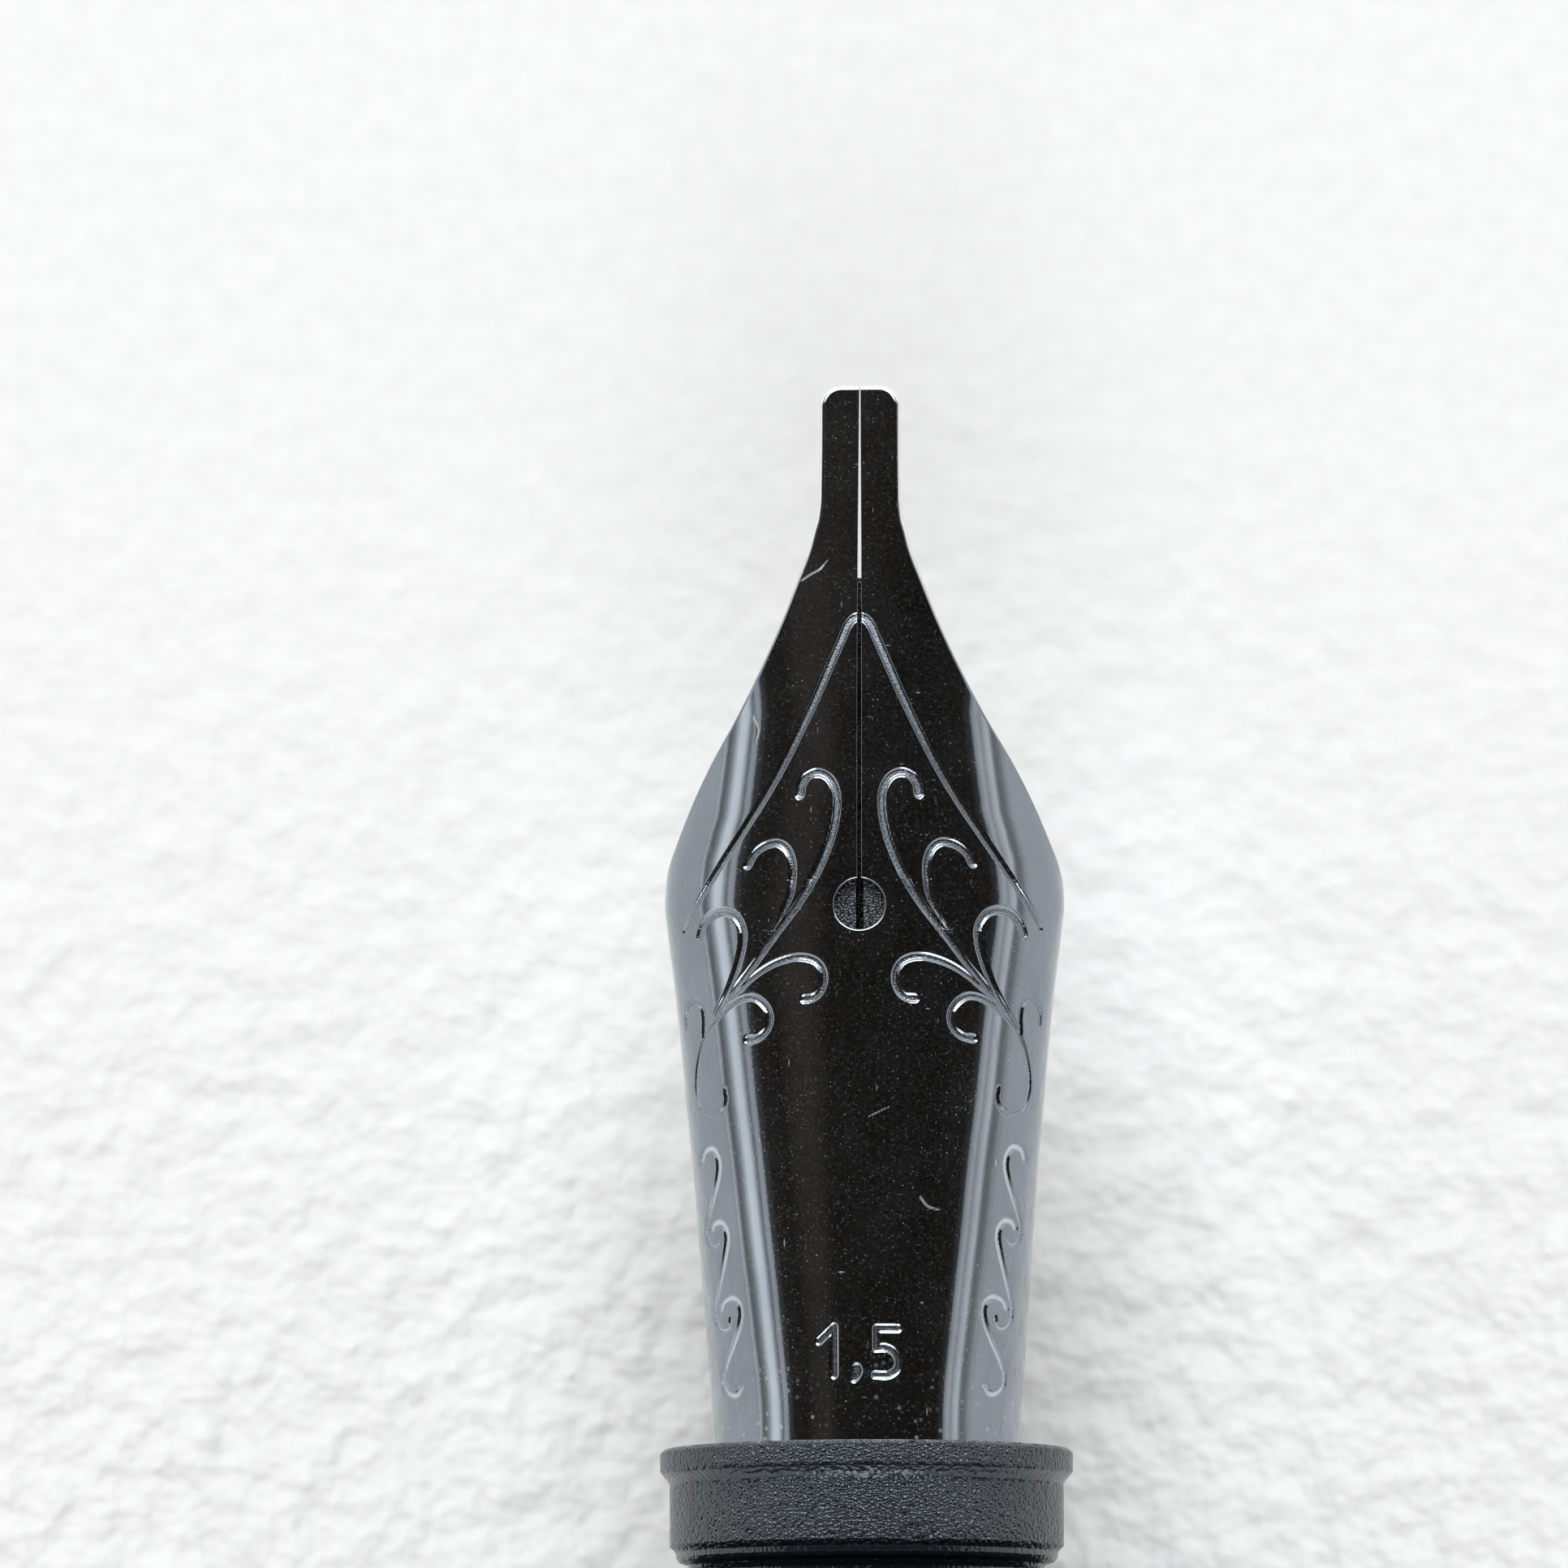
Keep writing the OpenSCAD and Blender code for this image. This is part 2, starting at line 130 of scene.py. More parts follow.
def revolve(name, profile, seg=160, radius=0.05, step=1.2, shape=None, fine=None, attr=None):
    """A turned piece about the pen's axis from a closed profile of [radius, a], in mm.
    shape(theta, a, r) gives the final radius; attr is a dict of functions of the same arguments."""
    pts = rounded(profile, radius)
    pts = [p for k, p in enumerate(pts) if np.linalg.norm(p - pts[k - 1]) > 1e-5]
    axis = [k for k, p in enumerate(pts) if p[0] < 1e-6]
    closed = not axis
    if axis:
        # starts just after the run of points on the axis, and ends just before it
        k0 = next(k for k in axis if (k + 1) % len(pts) not in axis)
        pts = pts[k0:] + pts[:k0]
        last = max(k for k, p in enumerate(pts) if p[0] < 1e-6)
        pts = pts[:last + 1] if last > 0 else pts + [pts[0]]
    pts = split_long(pts, step, closed, fine)
    ra = np.array(pts)
    n = len(ra)
    th = np.arange(seg) * 2 * math.pi / seg
    R = np.repeat(ra[:, :1], seg, 1)
    A = np.repeat(ra[:, 1:], seg, 1)
    T = np.repeat(th[None], n, 0)
    if shape is not None:
        R = np.where(R > 1e-6, shape(T, A, R), 0.0)
    V = np.stack([R * np.sin(T), YO + A, AZ + R * np.cos(T)], -1).reshape(-1, 3)
    idx = np.arange(n * seg).reshape(n, seg)
    for i in range(n):
        if ra[i, 0] < 1e-6:
            idx[i, :] = idx[i, 0]
    i = np.arange(n if closed else n - 1)
    a, b = idx[i], idx[(i + 1) % n]
    a2, b2 = np.roll(a, -1, 1), np.roll(b, -1, 1)
    q = np.stack([a, b, b2, a2], -1).reshape(-1, 4)
    area = np.sum(ra[:, 0] * np.roll(ra[:, 1], -1) - np.roll(ra[:, 0], -1) * ra[:, 1])
    if area < 0:
        q = q[:, ::-1]
    top = q[:, 0] == q[:, 3]
    mid = q[:, 1] == q[:, 2]
    flat = (q[:, 0] == q[:, 1]) | (q[:, 2] == q[:, 3])
    tri = [q[top & ~mid][:, [0, 1, 2]], q[mid & ~top][:, [0, 1, 3]]]
    keep = q[~top & ~mid & ~flat]
    if flat.any():
        f = q[flat & ~top & ~mid]
        for row in f:
            u = list(dict.fromkeys(row.tolist()))
            if len(u) == 3:
                tri.append(np.array([u]))
    attrs = {k: f(T, A, R).ravel() for k, f in (attr or {}).items()}
    return mesh_object(name, V, keep, np.concatenate([t.reshape(-1, 3) for t in tri]), attrs)


def pchip(tab):
    """Smooth monotone curve through the points of a table."""
    x = np.array([p[0] for p in tab], float)
    y = np.array([p[1] for p in tab], float)
    h, d = np.diff(x), np.diff(y) / np.diff(x)
    m = np.zeros(len(x))
    for i in range(1, len(x) - 1):
        if d[i - 1] * d[i] > 0:
            w1, w2 = 2 * h[i] + h[i - 1], h[i] + 2 * h[i - 1]
            m[i] = (w1 + w2) / (w1 / d[i - 1] + w2 / d[i])
    m[0], m[-1] = d[0], d[-1]

    def f(v):
        v = np.clip(np.asarray(v, float), x[0], x[-1])
        k = np.clip(np.searchsorted(x, v) - 1, 0, len(x) - 2)
        t = (v - x[k]) / h[k]
        return ((1 + 2 * t) * (1 - t) ** 2 * y[k] + t * (1 - t) ** 2 * h[k] * m[k]
                + t * t * (3 - 2 * t) * y[k + 1] + t * t * (t - 1) * h[k] * m[k + 1])
    return f


def spline(points, step=0.03):
    """Catmull-Rom curve through points, sampled about every step."""
    p = np.array(points, float)
    p = np.vstack([2 * p[0] - p[1], p, 2 * p[-1] - p[-2]])
    out = []
    for i in range(1, len(p) - 2):
        p0, p1, p2, p3 = p[i - 1], p[i], p[i + 1], p[i + 2]
        t0, t1 = 0.0, max(1e-6, np.linalg.norm(p1 - p0)) ** 0.5
        t2 = t1 + max(1e-6, np.linalg.norm(p2 - p1)) ** 0.5
        t3 = t2 + max(1e-6, np.linalg.norm(p3 - p2)) ** 0.5
        m = max(2, int(math.ceil(np.linalg.norm(p2 - p1) / step)))
        for t in np.linspace(t1, t2, m, endpoint=False):
            a1 = (t1 - t) / (t1 - t0) * p0 + (t - t0) / (t1 - t0) * p1
            a2 = (t2 - t) / (t2 - t1) * p1 + (t - t1) / (t2 - t1) * p2
            a3 = (t3 - t) / (t3 - t2) * p2 + (t - t2) / (t3 - t2) * p3
            b1 = (t2 - t) / (t2 - t0) * a1 + (t - t0) / (t2 - t0) * a2
            b2 = (t3 - t) / (t3 - t1) * a2 + (t - t1) / (t3 - t1) * a3
            out.append((t2 - t) / (t2 - t1) * b1 + (t - t1) / (t2 - t1) * b2)
    out.append(p[-2])
    return np.array(out)


def smoothstep(x):
    x = np.clip(x, 0, 1)
    return x * x * (3 - 2 * x)


# ------------------------------------------------------------------ materials
class Mat:
    """A small helper that builds one procedural material."""

    def __init__(self, name):
        self.m = bpy.data.materials.new(name)
        self.m.use_nodes = True
        self.t = self.m.node_tree
        self.t.nodes.clear()
        self.out = self.t.nodes.new("ShaderNodeOutputMaterial")
        self.b = self.t.nodes.new("ShaderNodeBsdfPrincipled")
        self.t.links.new(self.b.outputs[0], self.out.inputs[0])
        self.co = self.t.nodes.new("ShaderNodeTexCoord").outputs["Object"]

    def set(self, **kw):
        for k, v in kw.items():
            self.b.inputs[k.replace("_", " ")].default_value = v
        return self

    def link(self, a, b):
        self.t.links.new(a, b)

    def into(self, key, out):
        self.link(out, self.b.inputs[key])

    def mapping(self, scale=(1, 1, 1), rot=(0, 0, 0), loc=(0, 0, 0)):
        n = self.t.nodes.new("ShaderNodeMapping")
        n.inputs["Scale"].default_value = scale
        n.inputs["Rotation"].default_value = [math.radians(r) for r in rot]
        n.inputs["Location"].default_value = loc
        self.link(self.co, n.inputs["Vector"])
        return n.outputs[0]

    def noise(self, size_mm, detail=3.0, rough=0.55, vec=None, kind="NOISE", distort=0.0):
        """Noise whose features are about size_mm across."""
        n = self.t.nodes.new("ShaderNodeTexNoise")
        n.inputs["Scale"].default_value = 1000.0 / size_mm
        n.inputs["Detail"].default_value = detail
        n.inputs["Roughness"].default_value = rough
        n.inputs["Distortion"].default_value = distort
        self.link(vec or self.co, n.inputs["Vector"])
        return n.outputs["Fac"]

    def voronoi(self, size_mm, vec=None, feature="F1", rand=1.0):
        n = self.t.nodes.new("ShaderNodeTexVoronoi")
        n.feature = feature
        n.inputs["Scale"].default_value = 1000.0 / size_mm
        n.inputs["Randomness"].default_value = rand
        self.link(vec or self.co, n.inputs["Vector"])
        return n

    def ramp(self, fac, stops, interp="LINEAR"):
        n = self.t.nodes.new("ShaderNodeValToRGB")
        n.color_ramp.interpolation = interp
        e = n.color_ramp.elements
        while len(e) < len(stops):
            e.new(0.5)
        for el, (pos, col) in zip(e, stops):
            el.position = pos
            el.color = (col, col, col, 1) if isinstance(col, (int, float)) else (*col, 1)
        self.link(fac, n.inputs[0])
        return n.outputs[0]

    def math(self, op, a, b=None, clamp=False):
        n = self.t.nodes.new("ShaderNodeMath")
        n.operation = op
        n.use_clamp = clamp
        for i, v in enumerate([a, b]):
            if v is None:
                continue
            if isinstance(v, (int, float)):
                n.inputs[i].default_value = v
            else:
                self.link(v, n.inputs[i])
        return n.outputs[0]

    def range(self, v, lo, hi, a, b, smooth=False):
        n = self.t.nodes.new("ShaderNodeMapRange")
        n.interpolation_type = "SMOOTHSTEP" if smooth else "LINEAR"
        n.inputs["From Min"].default_value = lo
        n.inputs["From Max"].default_value = hi
        n.inputs["To Min"].default_value = a
        n.inputs["To Max"].default_value = b
        self.link(v, n.inputs["Value"])
        return n.outputs["Result"]

    def mix(self, fac, a, b, mode="MIX"):
        n = self.t.nodes.new("ShaderNodeMix")
        n.data_type = "RGBA"
        n.blend_type = mode
        for key, v in (("Factor", fac), ("A", a), ("B", b)):
            sock = [s for s in n.inputs if s.name == key and s.enabled][0]
            if isinstance(v, (int, float)):
                sock.default_value = v
            elif isinstance(v, (tuple, list)):
                sock.default_value = (*v, 1)
            else:
                self.link(v, sock)
        return [s for s in n.outputs if s.enabled][0]

    def attr(self, name):
        n = self.t.nodes.new("ShaderNodeAttribute")
        n.attribute_name = name
        return n.outputs["Fac"]

    def axis(self, which):
        n = self.t.nodes.new("ShaderNodeSeparateXYZ")
        self.link(self.co, n.inputs[0])
        return n.outputs[which]

    def bump(self, height, depth_mm, strength=1.0, before=None):
        n = self.t.nodes.new("ShaderNodeBump")
        n.inputs["Strength"].default_value = strength
        n.inputs["Distance"].default_value = depth_mm * MM
        self.link(height, n.inputs["Height"])
        if before is not None:
            self.link(before, n.inputs["Normal"])
        return n.outputs[0]

    def specks(self, spacing_mm, size, patch_mm=3.0, patchy=(0.45, 0.7), stretch=(1, 1, 1), rot=(0, 0, 0)):
        """Small specks, one in some of the cells spacing_mm apart, gathered into patches."""
        vec = self.mapping(stretch, rot) if stretch != (1, 1, 1) or rot != (0, 0, 0) else None
        v = self.voronoi(spacing_mm, vec)
        dot = self.range(v.outputs["Distance"], size, size * 0.45, 0, 1)
        sep = self.t.nodes.new("ShaderNodeSeparateColor")
        self.link(v.outputs["Color"], sep.inputs[0])
        some = self.range(sep.outputs[0], 0.45, 1.0, 0, 1)
        patch = self.range(self.noise(patch_mm, 2.0), patchy[0], patchy[1], 0, 1)
        return self.math("MULTIPLY", self.math("MULTIPLY", dot, some), patch, True)

    def hairlines(self, size_mm, long, rot, width=0.012, patch_mm=2.5, patchy=(0.5, 0.62)):
        """Short fine scratches: thin iso-lines of a stretched noise, broken up by another."""
        vec = self.mapping((1, 1.0 / long, 1), rot)
        n = self.noise(size_mm, 0.0, vec=vec)
        d = self.math("ABSOLUTE", self.math("SUBTRACT", n, 0.5))
        line = self.range(d, 0.0, width, 1, 0)
        patch = self.range(self.noise(patch_mm, 1.0), patchy[0], patchy[1], 0, 1)
        return self.math("MULTIPLY", line, patch, True)


def plastic(name, colour, rough, grain_mm=0.09, grain_um=6.0, wear=None, ior=1.5, spread=0.06, dust=0.5, pebbles=False, mottle=1.0):
    """Moulded plastic: spark-eroded grain, uneven gloss, a little dust and paler handling marks."""
    m = Mat(name)
    m.set(IOR=ior, Specular_Tint=(0.84, 0.93, 1.0, 1))
    big = m.noise(3.5, 3.0)
    fine = m.noise(grain_mm, 2.0, 0.6)
    tone = m.mix(m.range(big, 0.3, 0.7, 0, 1), tuple(c * (1 - 0.18 * mottle) for c in colour), tuple(min(1, c * (1 + 0.22 * mottle)) for c in colour))
    marks = m.hairlines(0.9, 9, (0, 0, 63), 0.010)
    specks = m.math("MULTIPLY", m.specks(0.34, 0.14, 1.6, (0.50, 0.68)), dust)
    pale = m.math("ADD", m.math("MULTIPLY", marks, 0.12), specks, True)
    if wear is not None:
        pale = m.math("ADD", pale, m.math("MULTIPLY", m.attr(wear), m.range(m.noise(0.25, 3.0), 0.35, 0.62, 0.0, 0.55)), True)
    m.into("Base Color", m.mix(pale, tone, (0.34, 0.34, 0.33)))
    r = m.math("ADD", m.range(big, 0.25, 0.75, rough - spread, rough + spread), m.range(fine, 0.3, 0.7, -0.03, 0.03))
    m.into("Roughness", m.math("ADD", r, m.math("MULTIPLY", marks, 0.15 * mottle), True))
    if pebbles:
        d = m.voronoi(grain_mm).outputs["Distance"]
        most = m.range(m.attr("calm"), 0.0, 1.0, -1.0, -0.22)
        first = m.bump(m.math("MULTIPLY", m.math("MULTIPLY", d, d), most), grain_um * MM, 1.0)
        m.into("Normal", m.bump(m.math("MULTIPLY", m.noise(grain_mm * 2.2, 1.0, 0.5), most), grain_um * 0.9 * MM, 0.8, first))
        return m.m
    first = m.bump(fine, grain_um * MM, 1.0)
    m.into("Normal", m.bump(m.voronoi(grain_mm * 1.9, feature="SMOOTH_F1").outputs["Distance"], grain_um * 0.8 * MM, 0.8, first))
    return m.m


def metal(name, colour, rough, turned=True, spread=0.05, tint=None, scratch=1.0):
    """Finished metal: faint turning lines, smudges that dull it, hairline scratches, dust."""
    m = Mat(name)
    m.set(Metallic=1.0)
    smudge = m.noise(2.2, 4.0, 0.6)
    tone = m.mix(m.range(smudge, 0.35, 0.7, 0, 1), colour, tint or tuple(c * 0.86 for c in colour))
    marks = m.math("MULTIPLY", m.hairlines(0.7, 12, (0, 0, 18), 0.008), scratch)
    specks = m.specks(0.40, 0.12, 1.8, (0.52, 0.70))
    m.into("Base Color", m.mix(specks, tone, (0.55, 0.54, 0.52)))
    lines = m.noise(0.05, 1.0, vec=m.mapping((0.02, 1, 0.02)))
    r = m.range(smudge, 0.3, 0.75, rough - spread * 0.5, rough + spread)
    r = m.math("ADD", r, m.math("MULTIPLY", m.math("ADD", marks, specks, True), 0.25), True)
    m.into("Roughness", r)
    if turned:
        first = m.bump(lines, 0.0012, 0.7)
    else:
        first = m.bump(m.noise(0.12, 2.0), 0.0006, 0.5)
    m.into("Normal", m.bump(marks, 0.002, 0.5, first))
    return m.m


def nib_material():
    """Mirror-polished sheet under a dark plating: etched groove floors, painted paler on the flanks as a painted
    highlight, ground bare edges, hairlines, wiping marks and dust that gathers towards the collar."""
    m = Mat("black_plated_nib")
    bare, floor, lint = m.attr("bare"), m.attr("floor"), m.attr("lint")
    along = m.axis(1)
    dusty = m.range(along, 0.060, 0.0412, 0.50, 1.0)
    s1 = m.specks(0.098, 0.19, 1.1, (0.38, 0.60))
    s2 = m.specks(0.21, 0.105, 1.4, (0.40, 0.58), stretch=(1, 0.20, 1), rot=(0, 0, 24))
    s3 = m.specks(0.055, 0.40, 0.6, (0.30, 0.58))
    s4 = m.specks(0.19, 0.105, 1.1, (0.40, 0.58), stretch=(0.20, 1, 1), rot=(0, 0, -28))
    dots = m.math("MAXIMUM", m.math("MULTIPLY", s1, 0.90), m.math("MAXIMUM", m.math("MAXIMUM", s2, s4), m.math("MULTIPLY", s3, 0.34)))
    foot = m.math("MULTIPLY", m.range(along, 0.0430, 0.0408, 0, 1), m.specks(0.16, 0.38, 0.6, (0.35, 0.6)))
    dots = m.math("MULTIPLY", m.math("MAXIMUM", dots, foot), dusty, True)
    film = m.math("ADD", m.range(m.noise(0.075, 2.0, 0.7), 0.44, 0.72, 0.0, 0.035), m.range(m.noise(1.1, 3.0), 0.42, 0.75, 0.0, 0.016), True)
    dust = m.math("MAXIMUM", m.math("MAXIMUM", dots, m.math("MULTIPLY", lint, 0.85)), film)
    h1 = m.hairlines(0.60, 7, (0, 0, 38), 0.004, 0.8, (0.60, 0.68))
    h2 = m.hairlines(0.50, 7, (0, 0, -62), 0.004, 0.7, (0.60, 0.68))
    hair = m.math("MAXIMUM", h1, h2)
    cloud = m.noise(1.6, 4.0, 0.6)
    plate = m.mix(m.range(cloud, 0.35, 0.7, 0, 1), (0.262, 0.297, 0.333), (0.232, 0.264, 0.297))
    grain = m.noise(0.035, 2.0, 0.7)
    etched = m.mix(m.range(grain, 0.35, 0.65, 0, 1), (0.13, 0.15, 0.18), (0.36, 0.40, 0.445))
    # painted highlight: on the flanks ahead of the shoulder the groove floors get a paler colour, so the scroll curls
    # read bright
    flank_painted_highlight = m.math("MULTIPLY", m.range(m.math("ABSOLUTE", m.axis(0)), 0.0022, 0.0026, 0, 1), m.range(along, 0.0490, 0.0480, 0, 1))
    etched = m.mix(m.math("MULTIPLY", flank_painted_highlight, 0.85), etched, (0.66, 0.70, 0.74))
    col = m.mix(floor, plate, etched)
    col = m.mix(bare, col, (0.84, 0.85, 0.85))
    col = m.mix(m.math("MULTIPLY", dust, 0.9), col, (0.66, 0.65, 0.62))
    m.into("Base Color", col)
    m.into("Metallic", m.math("SUBTRACT", 1.0, m.math("MULTIPLY", dust, 0.95), True))
    r = m.range(cloud, 0.3, 0.75, 0.022, 0.058)
    r = m.math("ADD", r, m.math("MULTIPLY", floor, 0.26))
    r = m.math("ADD", r, m.math("MULTIPLY", bare, 0.12))
    r = m.math("ADD", r, m.math("MULTIPLY", hair, 0.08))
    m.into("Roughness", m.math("ADD", r, m.math("MULTIPLY", dots, 0.5), True))
    b = m.bump(hair, 0.0005, 0.5)
    b = m.bump(m.math("MULTIPLY", grain, floor), 0.010, 0.8, b)
    b = m.bump(m.noise(0.055, 2.0, 0.6), 0.0007, 0.6, b)
    wave = m.noise(2.3, 1.0, 0.4, vec=m.mapping((1, 0.55, 1), (0, 0, 12)))
    m.into("Normal", m.bump(wave, 0.020, 0.5, b))
    return m.m


NIB = nib_material()
COLLAR = plastic("collar_moulded", (0.009, 0.013, 0.019), 0.21, 0.088, 64.0, wear="wear", dust=0.9, ior=1.70, pebbles=True)
FEED = plastic("feed_moulded", (0.014, 0.015, 0.017), 0.27, 0.058, 34.0, dust=0.4, ior=1.85, pebbles=True)
GRIP = plastic("grip_resin", (0.010, 0.010, 0.012), 0.22, 0.05, 0.4, wear="wear", ior=1.47, dust=0.35, spread=0.018, mottle=0.35)
BARREL = plastic("barrel_resin", (0.010, 0.010, 0.012), 0.22, 0.05, 0.4, wear="wear", ior=1.47, dust=0.4, spread=0.018, mottle=0.35)
LINER = plastic("liner_moulded", (0.055, 0.056, 0.060), 0.45, 0.10, 3.0, dust=0.2)
PLASTIC = plastic("converter_moulded", (0.028, 0.028, 0.031), 0.38, 0.10, 2.0, dust=0.15)
KNOB = plastic("knob_moulded", (0.016, 0.016, 0.018), 0.34, 0.09, 3.0, dust=0.3)
RUBBER = plastic("seal_rubber", (0.011, 0.011, 0.011), 0.60, 0.05, 4.0, ior=1.45, dust=0.5)
SEAL = plastic("piston_seal_rubber", (0.010, 0.010, 0.012), 0.50, 0.05, 2.0, ior=1.45, dust=0.1)
CHROME = metal("dark_chrome", (0.30, 0.31, 0.33), 0.10)
STEEL = metal("brushed_steel", (0.62, 0.62, 0.61), 0.22)
BRASS = metal("turned_brass", (0.76, 0.55, 0.24), 0.26, tint=(0.62, 0.42, 0.17))
SPINDLE = metal("nickel_brass", (0.74, 0.68, 0.55), 0.22, tint=(0.60, 0.50, 0.34))


def clear_material():
    m = Mat("clear_tube")
    m.set(Base_Color=(0.93, 0.96, 0.97, 1), IOR=1.49, Transmission_Weight=1.0)
    m.into("Roughness", m.math("ADD", m.range(m.noise(2.0, 3.0), 0.35, 0.7, 0.02, 0.07),
                               m.math("MULTIPLY", m.hairlines(0.8, 12, (0, 0, 20), 0.008), 0.25), True))
    m.into("Normal", m.bump(m.noise(1.5, 2.0), 0.004, 0.4))
    return m.m


CLEAR = clear_material()

# ------------------------------------------------------------------ the nib's shape
NIB_T, HOLE_A, HOLE_R = 0.25, 11.0, 0.52
hw_base = pchip([(-12.5, 3.17), (-1, 3.17), (0.6, 3.19), (2.3, 3.31), (4.0, 3.43), (5.6, 3.55), (7.0, 3.69), (8.0, 3.78),
              (9.0, 3.88), (10.0, 4.00), (10.7, 4.09), (11.3, 4.15), (11.7, 4.13), (12.0, 4.07), (12.6, 3.85),
              (13.2, 3.60), (14.0, 3.20), (15.0, 2.61), (16.0, 2.08), (17.0, 1.62), (17.9, 1.28), (18.5, 1.07),
              (18.9, 0.97), (19.2, 0.895), (19.6, 0.855), (21.4, 0.84), (22.1, 0.84)])
CORNER = 0.46


def hw_f(a):
    """Half width of the sheet, with round corners at the writing edge."""
    a = np.asarray(a, float)
    u = np.clip((a - (22.0 - CORNER)) / CORNER, 0, 1)
    return hw_base(a) - CORNER * (1 - np.sqrt(1 - u * u))


slit_f = pchip([(10, 0.042), (15, 0.042), (18, 0.036), (20, 0.023), (22.1, 0.009)])
b_f = pchip([(-12.5, 3.17), (-1, 3.17), (0.6, 3.19), (2.3, 3.31), (4.0, 3.43), (5.6, 3.55), (7.0, 3.69), (8.0, 3.78),
             (9.0, 3.88), (10.0, 4.00), (10.7, 4.09), (11.3, 4.15), (12.0, 4.11), (12.6, 4.00),
             (13.2, 3.86), (14.0, 3.74), (15.0, 3.62), (16.0, 3.50), (18.0, 3.20), (22.0, 3.00), (23.0, 3.00)])
crown_f = pchip([(-12.5, 3.17), (0, 3.17), (4, 3.13), (8, 3.02), (12, 2.80), (16, 2.42), (20, 1.88), (22, 1.58), (24, 1.3)])
depth_f = pchip([(-12.5, 3.17), (-2.5, 3.17), (-0.5, 3.47), (0.5, 3.50), (1.6, 3.45), (3.0, 3.31), (4.5, 3.13), (6.0, 3.02), (8, 2.93), (11.3, 2.88), (15, 2.82), (17, 2.0), (19.5, 0.8), (22, 0.3), (24, 0.3)])


def surface(a, p):
    """Point of the upper face, and its unit normal, at station a and section angle p (radians)."""
    e = 0.01
    b, h, c = b_f(a), depth_f(a), crown_f(a)
    db, dh, dc = ((f(a + e) - f(a - e)) / (2 * e) for f in (b_f, depth_f, crown_f))
    S = np.stack([b * np.sin(p), YO + a + 0 * p, AZ + c - h * (1 - np.cos(p))], -1)
    dx, dz = b * np.cos(p), -h * np.sin(p)
    ax, az = db * np.sin(p), dc - dh * (1 - np.cos(p))
    N = np.stack([-dz, dz * ax - dx * az, dx], -1)
    return S, N / np.linalg.norm(N, axis=-1, keepdims=True)


def on_surface(xa):
    xa = np.asarray(xa, float)
    return surface(xa[:, 1], np.arcsin(np.clip(xa[:, 0] / b_f(xa[:, 1]), -0.9999, 0.9999)))[0]


# Centre lines of the engraving on the right half as [x, a]: points, half width at each end, depth
BORDER = [(0.0, 17.02), (0.13, 16.98), (0.24, 16.84), (0.34, 16.60), (0.60, 16.00), (0.87, 15.38), (1.15, 14.78), (1.55, 13.98),
          (1.98, 13.24), (2.42, 12.58), (2.87, 11.93), (3.30, 11.30), (3.52, 10.95), (3.68, 10.62)]
SCROLLS = [
    ([(1.22, 13.30), (1.19, 13.50), (1.08, 13.67), (0.88, 13.75), (0.66, 13.67), (0.51, 13.45), (0.46, 13.10), (0.55, 12.50),
      (0.85, 11.72), (1.24, 11.06), (1.73, 10.42), (2.28, 9.70), (2.80, 9.08), (3.15, 8.60), (3.34, 8.14), (3.44, 7.62),
      (3.42, 7.20), (3.28, 6.87), (3.08, 6.75), (2.89, 6.82), (2.78, 7.02), (2.80, 7.28)], 0.096, 0.052),
    ([(2.31, 11.88), (2.23, 12.03), (2.08, 12.19), (1.87, 12.29), (1.66, 12.30), (1.49, 12.17), (1.39, 11.93), (1.37, 11.62),
      (1.43, 11.20), (1.60, 10.82), (1.86, 10.40), (2.10, 10.00)], 0.090, 0.055),
    ([(3.34, 10.48), (3.26, 10.70), (3.10, 10.87), (2.84, 10.93), (2.58, 10.83), (2.43, 10.57), (2.42, 10.26), (2.52, 9.85),
      (2.72, 9.35), (2.98, 8.90), (3.14, 8.62)], 0.090, 0.055),
    ([(1.13, 9.05), (0.96, 9.07), (0.82, 9.18), (0.73, 9.38), (0.74, 9.60), (0.85, 9.79), (1.03, 9.89), (1.28, 9.92),
      (1.56, 9.87), (1.86, 9.76), (2.18, 9.57), (2.50, 9.31), (2.86, 8.98)], 0.088, 0.055),
    ([(2.32, 8.26), (2.11, 8.29), (1.95, 8.41), (1.86, 8.60), (1.88, 8.82), (2.01, 9.01), (2.22, 9.13), (2.46, 9.11),
      (2.71, 8.99), (2.96, 8.78), (3.18, 8.54)], 0.085, 0.055),
    ([(3.64, 8.68), (3.66, 8.90), (3.59, 9.10), (3.46, 9.17), (3.32, 9.06), (3.26, 8.82), (3.27, 8.46)], 0.085, 0.060),
    ([(3.33, 5.90), (3.27, 6.06), (3.13, 6.11), (3.00, 5.98), (2.94, 5.76), (2.97, 5.48), (3.07, 5.12), (3.18, 4.75),
      (3.24, 4.42), (3.18, 4.20), (3.07, 4.11), (2.98, 4.17)], 0.096, 0.060),
    ([(3.13, 4.46), (3.08, 4.56), (2.95, 4.59), (2.82, 4.46), (2.77, 4.25), (2.82, 3.90), (2.92, 3.45), (3.02, 3.00),
      (3.05, 2.68), (2.99, 2.48), (2.87, 2.38), (2.75, 2.44), (2.71, 2.64)], 0.096, 0.062),
    ([(2.95, 2.80), (2.87, 2.95), (2.71, 3.02), (2.54, 2.93), (2.47, 2.72), (2.51, 2.44), (2.65, 2.08), (2.80, 1.74),
      (2.89, 1.42), (2.86, 1.20), (2.74, 1.06), (2.60, 1.04), (2.48, 1.20)], 0.090, 0.085),
]
